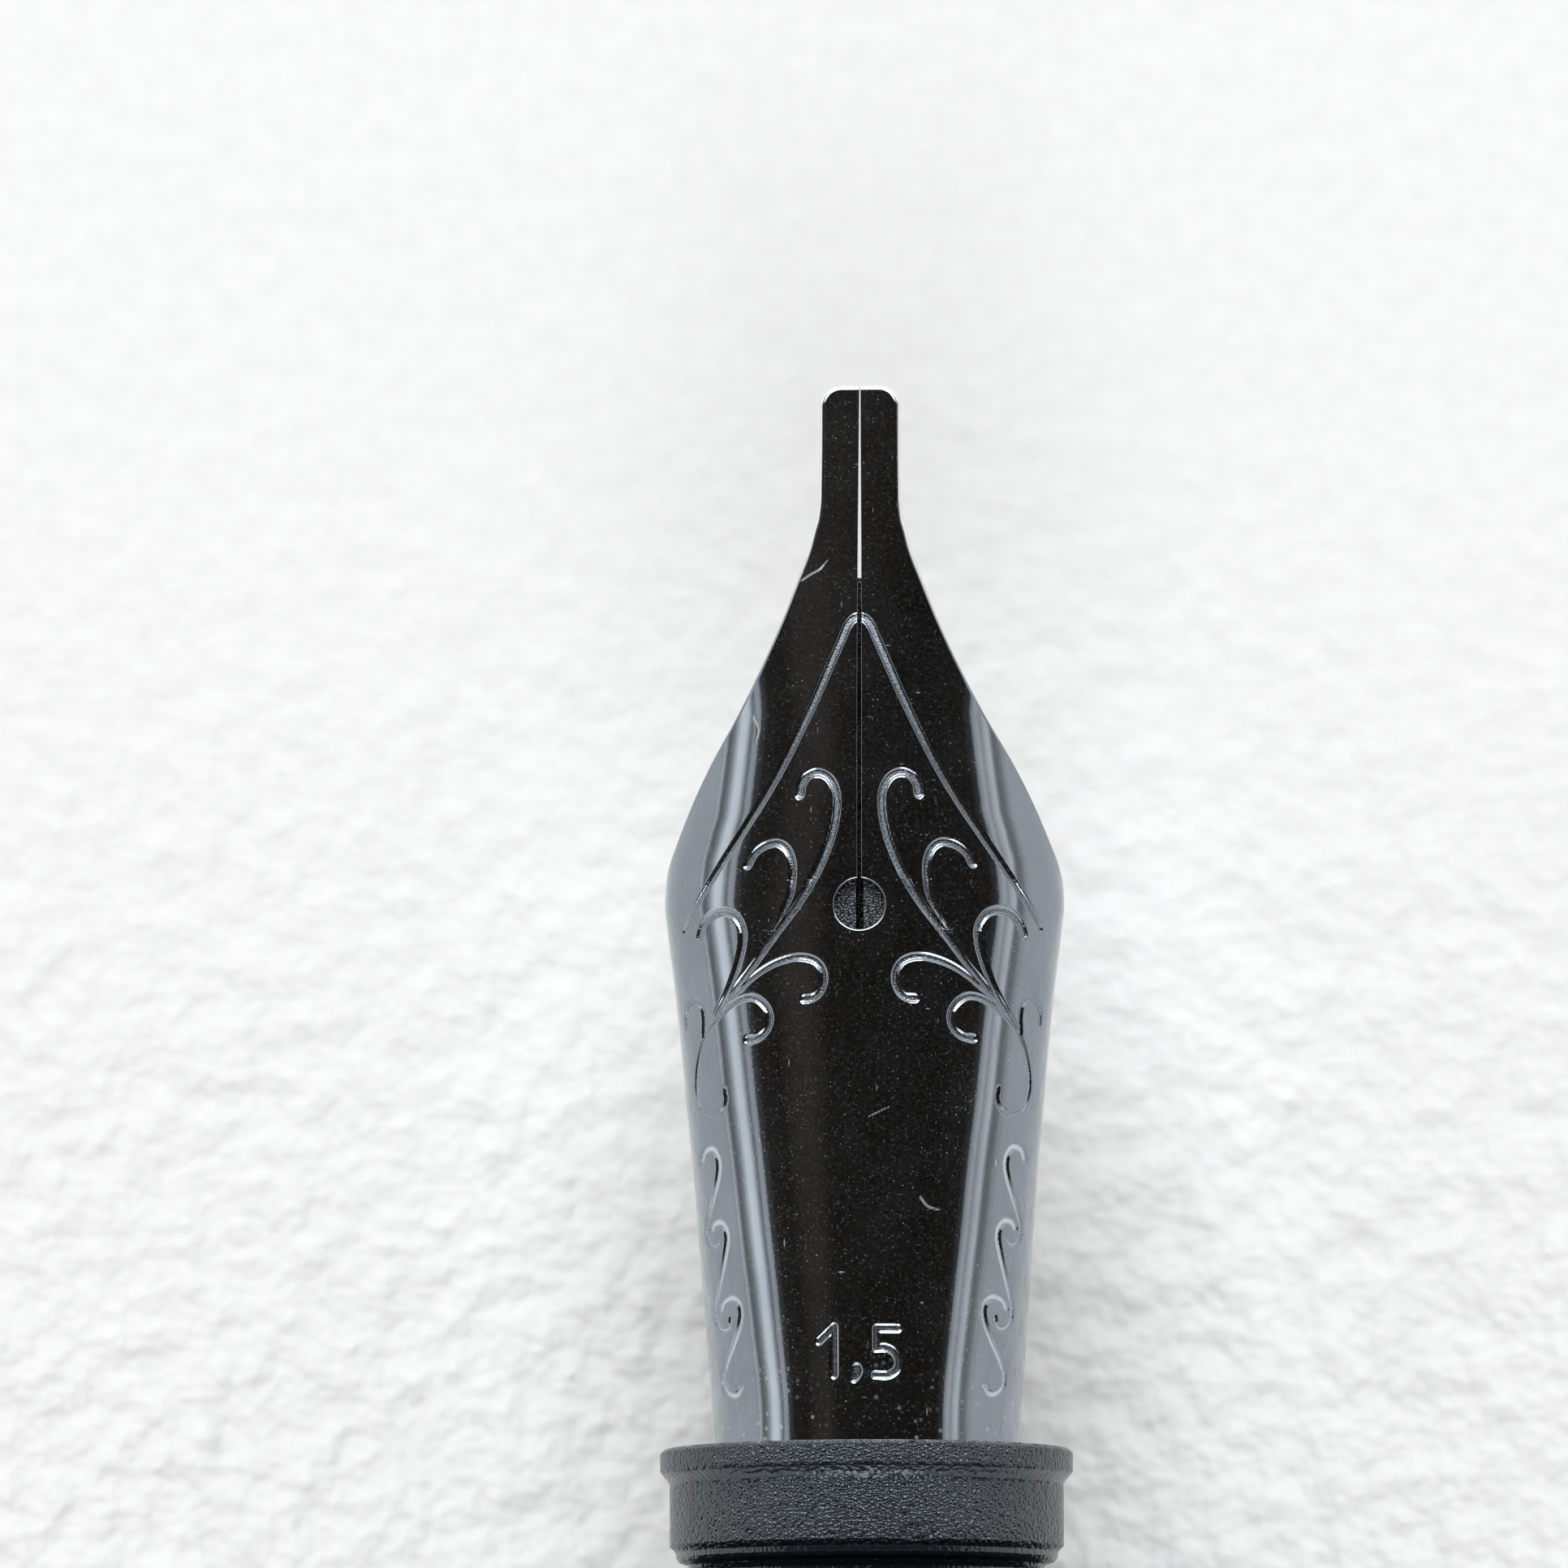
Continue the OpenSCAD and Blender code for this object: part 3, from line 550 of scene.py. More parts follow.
# The size mark, the edge's width in millimetres: plain single-stroke numerals
MARK = [[(-0.84, 2.05), (-0.53, 2.34)], [(-0.53, 2.34), (-0.53, 1.36)],
        [(0.77, 2.30), (0.32, 2.30)], [(0.32, 2.30), (0.32, 1.90)],
        [(0.32, 1.90), (0.51, 1.91), (0.67, 1.83), (0.77, 1.65), (0.73, 1.47), (0.58, 1.36), (0.29, 1.36)]]
COMMA = [[(-0.07, 1.48), (-0.06, 1.42), (-0.08, 1.34), (-0.13, 1.27)]]
# Light scratches left by handling
SCRATCH = [([(-1.20, 17.80), (-1.00, 17.93), (-0.84, 18.02), (-0.66, 18.21)], 0.028), ([(1.22, 4.98), (1.36, 4.80), (1.60, 4.72)], 0.030),
           ([(-2.20, 15.0), (-2.10, 14.72), (-2.16, 14.45)], 0.026), ([(0.20, 6.62), (0.62, 6.82)], 0.014)]


def groove_fields(P, X, A):
    """Depth and floor mask of the engraving, and scratch mask, at each point P of the upper face."""
    depth, floor, scr = np.zeros(len(P)), np.zeros(len(P)), np.zeros(len(P))

    def stroke(line, w0, w1, deep, wall, is_scratch=False, dot=0.0, taper_from=0.55):
        xa = spline(line) if len(line) > 2 else np.linspace(line[0], line[1], 12)
        c = on_surface(xa)
        seg = np.linalg.norm(np.diff(c, axis=0), axis=1)
        run = np.concatenate([[0], np.cumsum(seg)])
        total = run[-1]
        chunk = 12
        for k in range(0, len(c) - 1, chunk):
            part = c[k:k + chunk + 1]
            lo, hi = xa[k:k + chunk + 1].min(0) - 0.2, xa[k:k + chunk + 1].max(0) + 0.2
            near = np.nonzero((X > lo[0]) & (X < hi[0]) & (A > lo[1]) & (A < hi[1]))[0]
            if not len(near):
                continue
            p = P[near]
            a, b = part[:-1], part[1:]
            ab = b - a
            ap = p[:, None] - a[None]
            t = np.clip(np.einsum("nij,ij->ni", ap, ab) / np.maximum(1e-12, (ab ** 2).sum(1))[None], 0, 1)
            d = np.linalg.norm(ap - t[..., None] * ab[None], axis=2)
            j = d.argmin(1)
            dist = d[np.arange(len(p)), j]
            s = (run[k + j] + t[np.arange(len(p)), j] * seg[k + j]) / max(total, 1e-9)
            hw = w0 + (w1 - w0) * smoothstep((s - taper_from) / (1 - taper_from))
            if dot:
                hw = np.maximum(hw, np.where(s < 0.04, w0 + dot, 0))
            g = smoothstep((hw - dist) / wall)
            f = smoothstep((hw - dist - wall * 0.85) / (wall * 0.45))
            if is_scratch:
                scr[near] = np.maximum(scr[near], g)
                depth[near] = np.maximum(depth[near], deep * g)
            else:
                depth[near] = np.maximum(depth[near], deep * g)
                floor[near] = np.maximum(floor[near], f)

    for k in (-1, 1):
        flip = lambda line: [(k * x, a) for x, a in line]
        stroke(flip(BORDER), 0.098, 0.074, 0.052, 0.050, taper_from=0.35)
        for n, (line, w0, w1) in enumerate(SCROLLS):
            if n > 5:
                stroke(flip(line), w0 * 1.14, w1 * 1.18, 0.046, 0.058, dot=0.012, taper_from=0.35)
            else:
                stroke(flip(line), w0, w1, 0.050, 0.050, dot=0.012, taper_from=0.35)
    for line in MARK:
        stroke(line, 0.088, 0.088, 0.042, 0.040)
    stroke(COMMA[0], 0.125, 0.080, 0.045, 0.045, taper_from=0.1)
    for line, w in SCRATCH:
        stroke(line, w, w * 0.7, 0.004, w * 0.8, True)
    return depth, floor, scr


def drop(d, r):
    """How far a rounded edge of radius r has fallen at distance d from the edge."""
    d = np.clip(d, 0, r)
    return r - np.sqrt(np.maximum(0, r * r - (r - d) ** 2))


def build_nib():
    rows = np.concatenate([
        [-12.0, -11.985, -11.96, -11.92, -11.8], np.arange(-11.4, -0.3, 0.45), np.arange(-0.25, 0.95, 0.05),
        np.arange(0.95, 10.40, 0.030), np.arange(10.40, 10.479, 0.012),
        HOLE_A - HOLE_R * np.cos(np.linspace(0.0, math.pi - 0.068, 60)),
        np.arange(11.523, 11.60, 0.012), np.arange(11.60, 17.15, 0.030), np.arange(17.15, 18.4, 0.035), np.arange(18.4, 21.63, 0.06),
        22.0 - CORNER * (1 - np.sin(np.linspace(0, math.pi / 2, 26)))])
    rows = np.unique(np.round(rows, 6))
    n_main, n_low = 188, 36
    out_e = np.array([0.15, 0.120, 0.092, 0.068, 0.048, 0.030, 0.016, 0.006, 0.0])
    nr = len(rows)
    half = []
    for k in (1, -1):
        top_p, low_p = [], []
        for a in rows:
            b, h, w = float(b_f(a)), float(depth_f(a)), float(hw_f(a))
            reach = math.asin(min(1.0, w / b))
            pp = np.linspace(0, reach, 80)
            L = np.concatenate([[0], np.cumsum(np.hypot(b * np.diff(np.sin(pp)), h * np.diff(np.cos(pp))))])
            in_x = 0.0
            if abs(a - HOLE_A) < HOLE_R:
                in_x = math.sqrt(max(0.0, HOLE_R ** 2 - (a - HOLE_A) ** 2))
            if a > HOLE_A:
                in_x = max(in_x, float(slit_f(a)))
            p_in = math.asin(min(1.0, in_x / b))
            L_in, L_out = float(np.interp(p_in, pp, L)), L[-1]
            e_in = 0.055 if abs(a - HOLE_A) < HOLE_R + 0.06 else 0.014
            inner = L_in + e_in * np.array([0.0, 0.12, 0.35, 0.65])
            edge = min(1.0, 0.35 * (L_out - L_in) / out_e[0])
            outer = L_out - out_e * edge
            main = np.linspace(L_in + e_in, outer[0], n_main)
            top_p.append(np.interp(np.concatenate([inner, main[:-1], outer]), L, pp))
            low_p.append(np.interp(np.concatenate([[L_in, L_in + 0.04], np.linspace(L_in + 0.08, L_out - 0.08, n_low),
                                                   [L_out - 0.04, L_out - 0.012, L_out]]), L, pp))
        half.append((k, np.array(top_p), np.array(low_p)))
    slope = np.arctan((hw_f(rows + 0.01) - hw_f(rows - 0.01)) / 0.02)
    verts, floors, bares, lints, tops, lows = [], [], [], [], [], []
    start = 0
    for k, tp, lp in half:
        for kind, P in (("top", tp), ("low", lp)):
            A = np.repeat(rows[:, None], P.shape[1], 1)
            S, N = surface(A, P)
            b, h = b_f(A), depth_f(A)
            reach = P[:, -1:]
            metric = np.sqrt((b * np.cos((P + reach) / 2)) ** 2 + (h * np.sin((P + reach) / 2)) ** 2)
            d_side = (reach - P) * metric * np.cos(slope)[:, None]
            d_edge = np.minimum(d_side, np.minimum(22.0 - A, A + 12.0))
            x = b * np.sin(P)
            at_corner = (A > 22.0 - CORNER) & (x > 0.84 - CORNER)
            d_edge = np.where(at_corner, CORNER - np.hypot(x - 0.84 + CORNER, A - 22.0 + CORNER), d_edge)
            d_edge = np.maximum(d_edge, 0)
            d_hole = np.hypot(x, A - HOLE_A) - HOLE_R
            d_slit = np.where(A > HOLE_A, x - slit_f(A), 9.0)
            if kind == "top":
                tip = smoothstep((A - 16.5) / 2.5)
                edge_r = 0.085 + 0.055 * tip
                W = drop(d_edge / edge_r, 1.0) * (0.085 + 0.010 * tip)
                W = np.maximum(W, np.maximum(drop(d_hole, 0.055), drop(d_slit, 0.013)))
                S = S.copy()
                S[..., 0] *= k
                N = N.copy()
                N[..., 0] *= k
                flat = S.reshape(-1, 3)
                g, f, s = groove_fields(flat, flat[:, 0], A.ravel())
                g = g.reshape(W.shape) * smoothstep(d_edge / 0.10) * smoothstep((d_hole - 0.02) / 0.10)
                f = f.reshape(W.shape) * smoothstep(d_edge / 0.10)
                W = W + g
                rim = smoothstep((0.055 + 0.035 * tip - d_edge) / 0.035) * np.where(A > 0, 0.40 + 0.60 * tip, 0.2)
                rim = np.maximum(rim, smoothstep((0.022 - d_hole) / 0.03) * 0.8)
                rim = np.maximum(rim, smoothstep((0.010 - d_slit) / 0.008) * 0.55)
                floors.append(f.ravel())
                bares.append(rim.ravel())
                lints.append(s)
            else:
                W = NIB_T - np.maximum(drop(d_edge, 0.06), np.maximum(drop(d_hole, 0.02), drop(d_slit, 0.01)))
                S = S.copy()
                S[..., 0] *= k
                N = N.copy()
                N[..., 0] *= k
                floors.append(np.zeros(W.size))
                lints.append(np.zeros(W.size))
                bares.append((smoothstep((0.05 - d_edge) / 0.035) * 0.5).ravel())
            V = S - W[..., None] * N
            idx = start + np.arange(W.size).reshape(W.shape)
            start += W.size
            verts.append(V.reshape(-1, 3))
            (tops if kind == "top" else lows).append((k, idx))
    shut = rows <= HOLE_A - HOLE_R + 1e-9
    for group in (tops, lows):
        group[1][1][shut, 0] = group[0][1][shut, 0]
    quads = []

    def strip(a, b, flip):
        q = np.stack([a[:-1], b[:-1], b[1:], a[1:]], -1).reshape(-1, 4)
        quads.append(q[:, ::-1] if flip else q)

    for (k, top), (_, low) in zip(tops, lows):
        flip = k < 0
        q = np.stack([top[:-1, :-1], top[:-1, 1:], top[1:, 1:], top[1:, :-1]], -1).reshape(-1, 4)
        quads.append(q[:, ::-1] if flip else q)
        q = np.stack([low[:-1, :-1], low[1:, :-1], low[1:, 1:], low[:-1, 1:]], -1).reshape(-1, 4)
        quads.append(q[:, ::-1] if flip else q)
        strip(top[:, -1], low[:, -1], flip)
        open_rows = ~shut[1:]
        q = np.stack([top[:-1, 0], top[1:, 0], low[1:, 0], low[:-1, 0]], -1)[open_rows]
        quads.append(q[:, ::-1] if flip else q)
    tris = []
    V = np.concatenate(verts)
    for (k, top), (_, low) in zip(tops, lows):
        for row, other in ((0, True), (-1, False)):
            # the end face between the upper and lower faces: zipped by position across
            t, l = top[row], low[row]
            i = j = 0
            ux, lx = np.abs(V[t, 0]), np.abs(V[l, 0])
            if row == 0:
                ux = np.linspace(0, 1, len(t))
                lx = np.linspace(0, 1, len(l))
            while i < len(t) - 1 or j < len(l) - 1:
                if j >= len(l) - 1 or (i < len(t) - 1 and ux[i + 1] <= lx[j + 1]):
                    tri = (t[i], t[i + 1], l[j])
                    i += 1
                else:
                    tri = (t[i], l[j + 1], l[j])
                    j += 1
                if (k > 0) == other:
                    tri = tri[::-1]
                tris.append(tri)
    return mesh_object("nib_detailed", V, np.concatenate(quads), np.array(tris),
                       {"floor": np.concatenate(floors), "bare": np.concatenate(bares), "lint": np.concatenate(lints)})


nib = build_nib()
finish_piece(nib, "nib_and_feed", "black_plated_steel", NIB, "nib")


# ------------------------------------------------------------------ the feed under the nib
def build_feed():
    wide = pchip([(0, 2.84), (4, 2.80), (8, 2.65), (11, 2.25), (14, 1.52), (16.5, 0.85), (17.8, 0.42)])
    belly = pchip([(0, -2.95), (3, -2.90), (6, -2.45), (9, -1.45), (12, -0.15), (14, 0.72), (16.5, 1.55), (17.8, 1.80)])
    fins, pitch, slot = 11, 0.78, 0.34
    rows = [(-0.5, 0.0, 0)]
    edge = 0.045

    def fin_rows(lo, hi):
        for e, k in ((0.0, 1.0), (0.012, 0.55), (0.028, 0.2), (edge, 0.0)):
            rows.append((lo + e, k * edge, 0))
        m = max(2, int((hi - lo - 2 * edge) / 0.12))
        for v in np.linspace(lo + edge, hi - edge, m + 1)[1:-1]:
            rows.append((v, 0.0, 0))
        for e, k in ((edge, 0.0), (0.028, 0.2), (0.012, 0.55), (0.0, 1.0)):
            rows.append((hi - e, k * edge, 0))

    here = -0.45
    for i in range(fins):
        a = 1.4 + i * pitch
        fin_rows(here, a)
        rows.append((a + 0.004, 0.0, 1))
        rows.append((a + slot / 2, 0.0, 1))
        rows.append((a + slot - 0.004, 0.0, 1))
        here = a + slot
    for e, k in ((0.0, 1.0), (0.012, 0.55), (0.028, 0.2), (edge, 0.0)):
        rows.append((here + e, k * edge, 0))
    for v in np.linspace(here + edge, 17.45, 46)[1:]:
        rows.append((v, 0.0, 0))
    for v, k in ((17.55, 0.02), (17.64, 0.05), (17.71, 0.09), (17.76, 0.15), (17.79, 0.22), (17.80, 0.30)):
        rows.append((v, k, 0))
    n = 34
    top_x = np.concatenate([np.linspace(-1, -0.06, n), np.linspace(0.06, 1, n)])
    low_q = np.linspace(1, -1, 54)[1:-1]
    V, count = [], None
    for a, inset, slotted in rows:
        w, b, h = float(wide(a)), float(b_f(a)) - NIB_T, max(0.02, float(depth_f(a)) - NIB_T)
        w = max(0.08, w - inset)
        low = AZ + float(belly(a)) + inset

        def face(x):
            return AZ + float(crown_f(a)) - NIB_T - 0.03 - h * (1 - math.sqrt(max(0.0, 1 - min(0.999, abs(x) / b) ** 2)))

        side = max(low + 0.05, face(w) - 0.05)
        ring = []
        cw = min(0.08, w * 0.3)
        for s in top_x:
            x = np.sign(s) * (cw + (w - cw) * (abs(s) - 0.06) / 0.94)
            ring.append([x, max(side, face(x) - inset)])
        # the ink channel is cut between the two inner points
        deep = max(low + 0.25, face(0) - 0.95)
        mid = n
        z0 = ring[mid - 1][1]
        ring[mid:mid] = [[-cw, (z0 + deep) / 2], [-cw, deep], [cw, deep], [cw, (z0 + deep) / 2]]
        for q in low_q:
            ang = q * math.pi / 2
            ring.append([w * math.sin(ang), side - (side - low) * math.cos(ang)])
        if slotted:
            t = AZ + float(crown_f(a)) - NIB_T - 1.5 - a * 0.06
            for p in ring:
                floor_z = t - 0.6 if abs(p[0]) < 0.85 else t
                if p[1] < floor_z:
                    p[1] = floor_z
        ring = np.array(ring)
        V.append(np.stack([ring[:, 0], np.full(len(ring), YO + a), ring[:, 1]], -1))
        count = len(ring)
    V = np.concatenate(V)
    idx = np.arange(len(V)).reshape(-1, count)
    a, b = idx[:-1], idx[1:]
    a2, b2 = np.roll(a, -1, 1), np.roll(b, -1, 1)
    quads = np.stack([a, b, b2, a2], -1).reshape(-1, 4)
    ends = []
    centre = []
    for r, rev in ((0, False), (-1, True)):
        ring = idx[r]
        c = V[ring].mean(0)
        ci = len(V) + len(centre)
        centre.append(c)
        for j in range(count):
            tri = (ring[j], ring[(j + 1) % count], ci)
            ends.append(tri[::-1] if rev else tri)
    V = np.concatenate([V, np.array(centre)])
    return mesh_object("feed_detailed", V, quads, np.array(ends))


def auto_smooth(ob, angle=38.0):
    """Marks edges sharper than angle as sharp, so that fins and steps keep crisp borders."""
    import bmesh
    bm = bmesh.new()
    bm.from_mesh(ob.data)
    bmesh.ops.recalc_face_normals(bm, faces=bm.faces)
    lim = math.radians(angle)
    for e in bm.edges:
        if len(e.link_faces) == 2:
            e.smooth = e.calc_face_angle(0.0) < lim
    bm.to_mesh(ob.data)
    bm.free()
    return ob


feed = auto_smooth(build_feed())
finish_piece(feed, "nib_and_feed", "feed_black", FEED, "feed")


def feed_rear():
    """The round rear of the feed: the nib's tail lies on its upper half, and its lower half fills the bore."""
    rows = [(-0.44, 0.05), (-0.47, 0.015), (-0.52, 0.0)] + [(v, 0.0) for v in np.arange(-1.2, -12.9, -0.6)] \
        + [(-13.0, 0.0), (-13.1, 0.02), (-13.16, 0.06), (-13.2, 0.12)]
    th = np.radians(np.arange(0, 360, 2.5) + 1.25)
    V = []
    for a, inset in rows:
        up, low = 2.88 - inset, 3.18 - inset
        k = smoothstep((np.cos(th) + 0.10) / 0.05)
        r = low + (up - low) * k
        x, z = r * np.sin(th), r * np.cos(th)
        top = (np.abs(x) < 0.09) & (z > 0)
        z = np.where(top, 1.7, z)
        groove = (np.abs(x) < 0.5) & (z < 0)
        z = np.where(groove, -2.42, z)
        V.append(np.stack([x, np.full(len(x), YO + a), AZ + z], -1))
    V = np.concatenate(V)
    m = len(th)
    idx = np.arange(len(V)).reshape(-1, m)
    a, b = idx[:-1], idx[1:]
    a2, b2 = np.roll(a, -1, 1), np.roll(b, -1, 1)
    quads = np.stack([a, b, b2, a2], -1).reshape(-1, 4)
    ends = []
    centre = []
    for r in (0, -1):
        c = V[idx[r]].mean(0)
        ci = len(V) + len(centre)
        centre.append(c)
        ends += [(idx[r][j], idx[r][(j + 1) % m], ci) for j in range(m)]
    return mesh_object("feed_rear", np.concatenate([V, np.array(centre)]), quads, np.array(ends))


finish_piece(auto_smooth(feed_rear()), "nib_and_feed", "feed_black", FEED)


# ------------------------------------------------------------------ turned and moulded pieces
def thread(theta, a, lo, hi, pitch, starts=1, hand=1.0):
    """0 to 1 over a rounded helical thread between lo and hi, run out at both ends."""
    ph = (a - lo) / pitch + hand * starts * theta / (2 * math.pi)
    crest = smoothstep(0.5 + 0.95 * np.cos(2 * math.pi * ph))
    fade = smoothstep((a - lo) / (0.5 * pitch)) * smoothstep((hi - a) / (0.5 * pitch))
    return crest * fade


def band(x, lo, hi, soft):
    return smoothstep((x - lo) / soft + 0.5) * smoothstep((hi - x) / soft + 0.5)


def collar_shape(T, A, R):
    outer = R > 3.36
    r = R.copy()
    zone = outer & (A < -3.92) & (A > -9.65)
    r = np.where(zone, 3.43 + 0.17 * thread(T, A, -9.6, -3.9, 0.5), r)
    # the gate's scar: a low oval pip on the shoulder band, up and to the right
    ang = (np.degrees(T) + 180) % 360 - 180
    pip = np.clip(1 - ((ang - 17) / 5.4) ** 2 - ((A + 1.86) / 0.17) ** 2, 0, 1)
    r = r - np.where(outer & (R > 3.9), 0.05 * smoothstep(pip * 3), 0) + np.where(outer & (R > 3.9), 0.045 * smoothstep((pip - 0.45) * 3), 0)
    # the mould's fine unevenness
    lump = 0.004 * np.sin(3 * T + 2.1 * A) * np.sin(5 * T - 1.3 * A) + 0.003 * np.sin(11 * T + 7.7 * A) * np.sin(17 * T - 9.1 * A)
    return r + np.where(outer & (A > -3.7), lump, 0)


def collar_wear(T, A, R):
    edge = smoothstep((A + 0.055) / 0.03) * smoothstep((R - 3.1) / 0.1)
    return edge * (0.75 + 0.25 * np.sin(7 * T) * np.sin(3 * T + 1))


def collar_calm(T, A, R):
    """Where the moulded grain fades: in the corners behind the flange and behind the band."""
    front = smoothstep((A + 0.80) / 0.08) * smoothstep((-0.46 - A) / 0.06)
    rear = smoothstep((-2.00 - A) / 0.12) * smoothstep((A + 2.75) / 0.15)
    return np.maximum(front, rear)


collar = revolve("nib_collar_detailed", [
    [3.23, 0], [4.17, 0], [4.25, -0.08], [4.25, -0.44], [4.19, -0.52], [4.09, -0.64], [4.05, -0.72], [4.05, -1.98],
    [3.97, -2.05], [3.93, -2.12], [3.92, -2.22], [3.86, -2.30], [3.68, -2.36], [3.60, -2.50], [3.60, -3.78], [3.43, -3.95], [3.43, -9.58],
    [3.38, -9.64], [3.38, -13.4], [3.20, -13.9], [1.60, -13.9], [1.35, -14.2], [1.35, -19.4], [1.15, -19.8],
    [0.65, -19.8], [0.65, -13.3], [3.23, -13.3]],
    seg=300, radius=0.035, step=0.30, fine=[(-9.7, -3.9, 0.035), (-3.9, 0.1, 0.05)], shape=collar_shape, attr={"wear": collar_wear, "calm": collar_calm})
finish_piece(collar, "nib_unit", "collar_black", COLLAR, "nib_collar")


def ring_profile(r0, a0, r, n=28):
    return [[r0 + r * math.cos(2 * math.pi * i / n), a0 + r * math.sin(2 * math.pi * i / n)] for i in range(n)]


def seal_shape(r0, r):
    # a moulding line round the outside and a trace of unevenness
    return lambda T, A, R: R + 0.006 * np.exp(-((R - r0 - r) / 0.02) ** 2) + 0.002 * np.sin(9 * T) * np.sin(4 * T + 1)


finish_piece(revolve("neck_seal_ring", ring_profile(3.96, -3.36, 0.34), 160, 0, 0.4, seal_shape(3.96, 0.34)),
             "neck_seal", "seal_rubber", RUBBER, "neck_oring")
finish_piece(revolve("barrel_seal_ring", ring_profile(5.12, -26.25, 0.26), 176, 0, 0.4, seal_shape(5.12, 0.26)),
             "barrel_seal", "seal_rubber", RUBBER, "barrel_oring")

grip_r = pchip([(-23.7, 5.88), (-22.0, 5.76), (-19.0, 5.52), (-15.5, 5.26), (-12.0, 5.00), (-9.0, 4.84), (-6.6, 4.80), (-4.6, 4.90), (-3.6, 5.00)])
grip_line = [[4.34, -2.95], [4.78, -2.95], [4.90, -2.99], [4.96, -3.07], [4.995, -3.2], [5.005, -3.38]] + \
    [[float(grip_r(a)), a] for a in np.arange(-3.6, -23.71, -0.45)] + \
    [[5.87, -23.82], [5.84, -23.93], [5.79, -24.0], [5.04, -24.0], [5.04, -20.0], [4.36, -20.0], [4.36, -3.75], [4.34, -3.75]]


def grip_wear(T, A, R):
    return np.maximum(smoothstep((A + 3.32) / 0.12) * 0.55, smoothstep((-23.75 - A) / 0.1) * 0.5) * (R > 4.7)


finish_piece(revolve("grip_detailed", grip_line, 220, 0.03, 0.45, attr={"wear": grip_wear}),
             "section", "grip_black", GRIP, "grip_shell")


def liner_shape(T, A, R):
    r = np.where((R > 4.4) & (A < -25.6) & (A > -32.9), 4.45 + 0.35 * thread(T, A, -32.85, -25.65, 1.0), R)
    return np.where((R < 3.85) & (A > -9.75) & (A < -4.2), 3.78 - 0.12 * thread(T, A, -9.7, -4.25, 0.5), r)


finish_piece(revolve("grip_liner_detailed", [
    [3.66, -3.80], [4.34, -3.80], [4.34, -19.97], [5.02, -19.97], [5.02, -24.0], [4.62, -24.0], [4.62, -25.6],
    [4.45, -25.7], [4.45, -32.8], [4.30, -33.2], [3.95, -33.2], [3.95, -14.2], [3.46, -14.2], [3.46, -9.8], [3.78, -9.7], [3.78, -4.25], [3.66, -4.1]],
    220, 0.04, 0.5, liner_shape, fine=[(-32.9, -25.6, 0.07), (-9.75, -4.2, 0.05)]),
    "section", "liner_grey", LINER, "grip_liner")

finish_piece(revolve("trim_ring_detailed", [
    [4.86, -24.03], [5.93, -24.03], [6.03, -24.13], [6.03, -24.44], [5.985, -24.50], [5.985, -24.56], [6.03, -24.62],
    [6.03, -24.88], [5.985, -24.94], [5.985, -25.00], [6.03, -25.06], [6.03, -25.37], [5.93, -25.47],
    [5.30, -25.47], [5.30, -25.9], [4.86, -25.9]], 220, 0.035, 0.3),
    "band", "dark_chrome", CHROME, "trim_ring")

barrel_r = pchip([(-98.0, 4.92), (-97, 5.05), (-90, 5.70), (-82, 6.22), (-72, 6.58), (-62, 6.70), (-48, 6.70), (-38, 6.64), (-32, 6.50), (-28, 6.30), (-25.64, 6.04)])


def barrel_shape(T, A, R):
    # flats above and below, softened where they meet the round
    u = (np.degrees(T) + 30) % 60 - 30
    flat = 6.1 / np.cos(np.radians(u))
    k = 0.16
    h = np.clip(0.5 + 0.5 * (flat - R) / k, 0, 1)
    soft = flat * (1 - h) + R * h - k * h * (1 - h)
    return np.where(R > 5.5, np.minimum(soft, flat), R)


def barrel_wear(T, A, R):
    u = np.abs((np.degrees(T) + 30) % 60 - 30)
    corner = smoothstep((u - 21) / 4) * smoothstep((R - 6.2) / 0.2) * 0.22
    mouth = smoothstep((A + 25.72) / 0.1) * 0.35
    tail = smoothstep((-97.6 - A) / 0.25) * 0.35
    return np.maximum(corner, np.maximum(mouth, tail)) * (R > 4.8)


finish_piece(revolve("barrel_detailed", [[5.45, -25.5], [5.88, -25.5], [5.97, -25.53], [6.02, -25.60]] +
                     [[float(barrel_r(a)), a] for a in np.arange(-25.7, -97.9, -0.6)] +
                     [[4.92, -97.97], [4.88, -98.0], [2.42, -98.0], [2.42, -92.5], [4.35, -92.5], [4.35, -36.2], [5.45, -36.2]],
                     336, 0.03, 0.6, barrel_shape, attr={"wear": barrel_wear}),
             "barrel", "barrel_black", BARREL, "barrel_shell")


def bush_shape(T, A, R):
    return np.where((R > 4.85) & (R < 5.15) & (A < -26.62) & (A > -34.3), 5.10 - 0.22 * thread(T, A, -34.2, -26.65, 1.0), R)


finish_piece(revolve("barrel_bush_detailed", [
    [5.43, -36.18], [5.43, -25.95], [5.42, -25.92], [5.40, -26.6], [5.10, -26.65], [5.10, -34.3], [4.88, -34.5], [4.40, -35.0], [4.40, -36.18]],
    200, 0.03, 0.5, bush_shape, fine=[(-34.4, -26.6, 0.08)]), "barrel", "brass", BRASS, "barrel_bush")

finish_piece(revolve("tail_ring_detailed", [
    [2.55, -98.02], [4.88, -98.02], [4.98, -98.12], [4.98, -98.42], [4.94, -98.48], [4.94, -98.62], [4.98, -98.68], [4.98, -98.98], [4.88, -99.08], [2.55, -99.08]],
    200, 0.035, 0.3), "barrel", "dark_chrome", CHROME, "tail_ring")

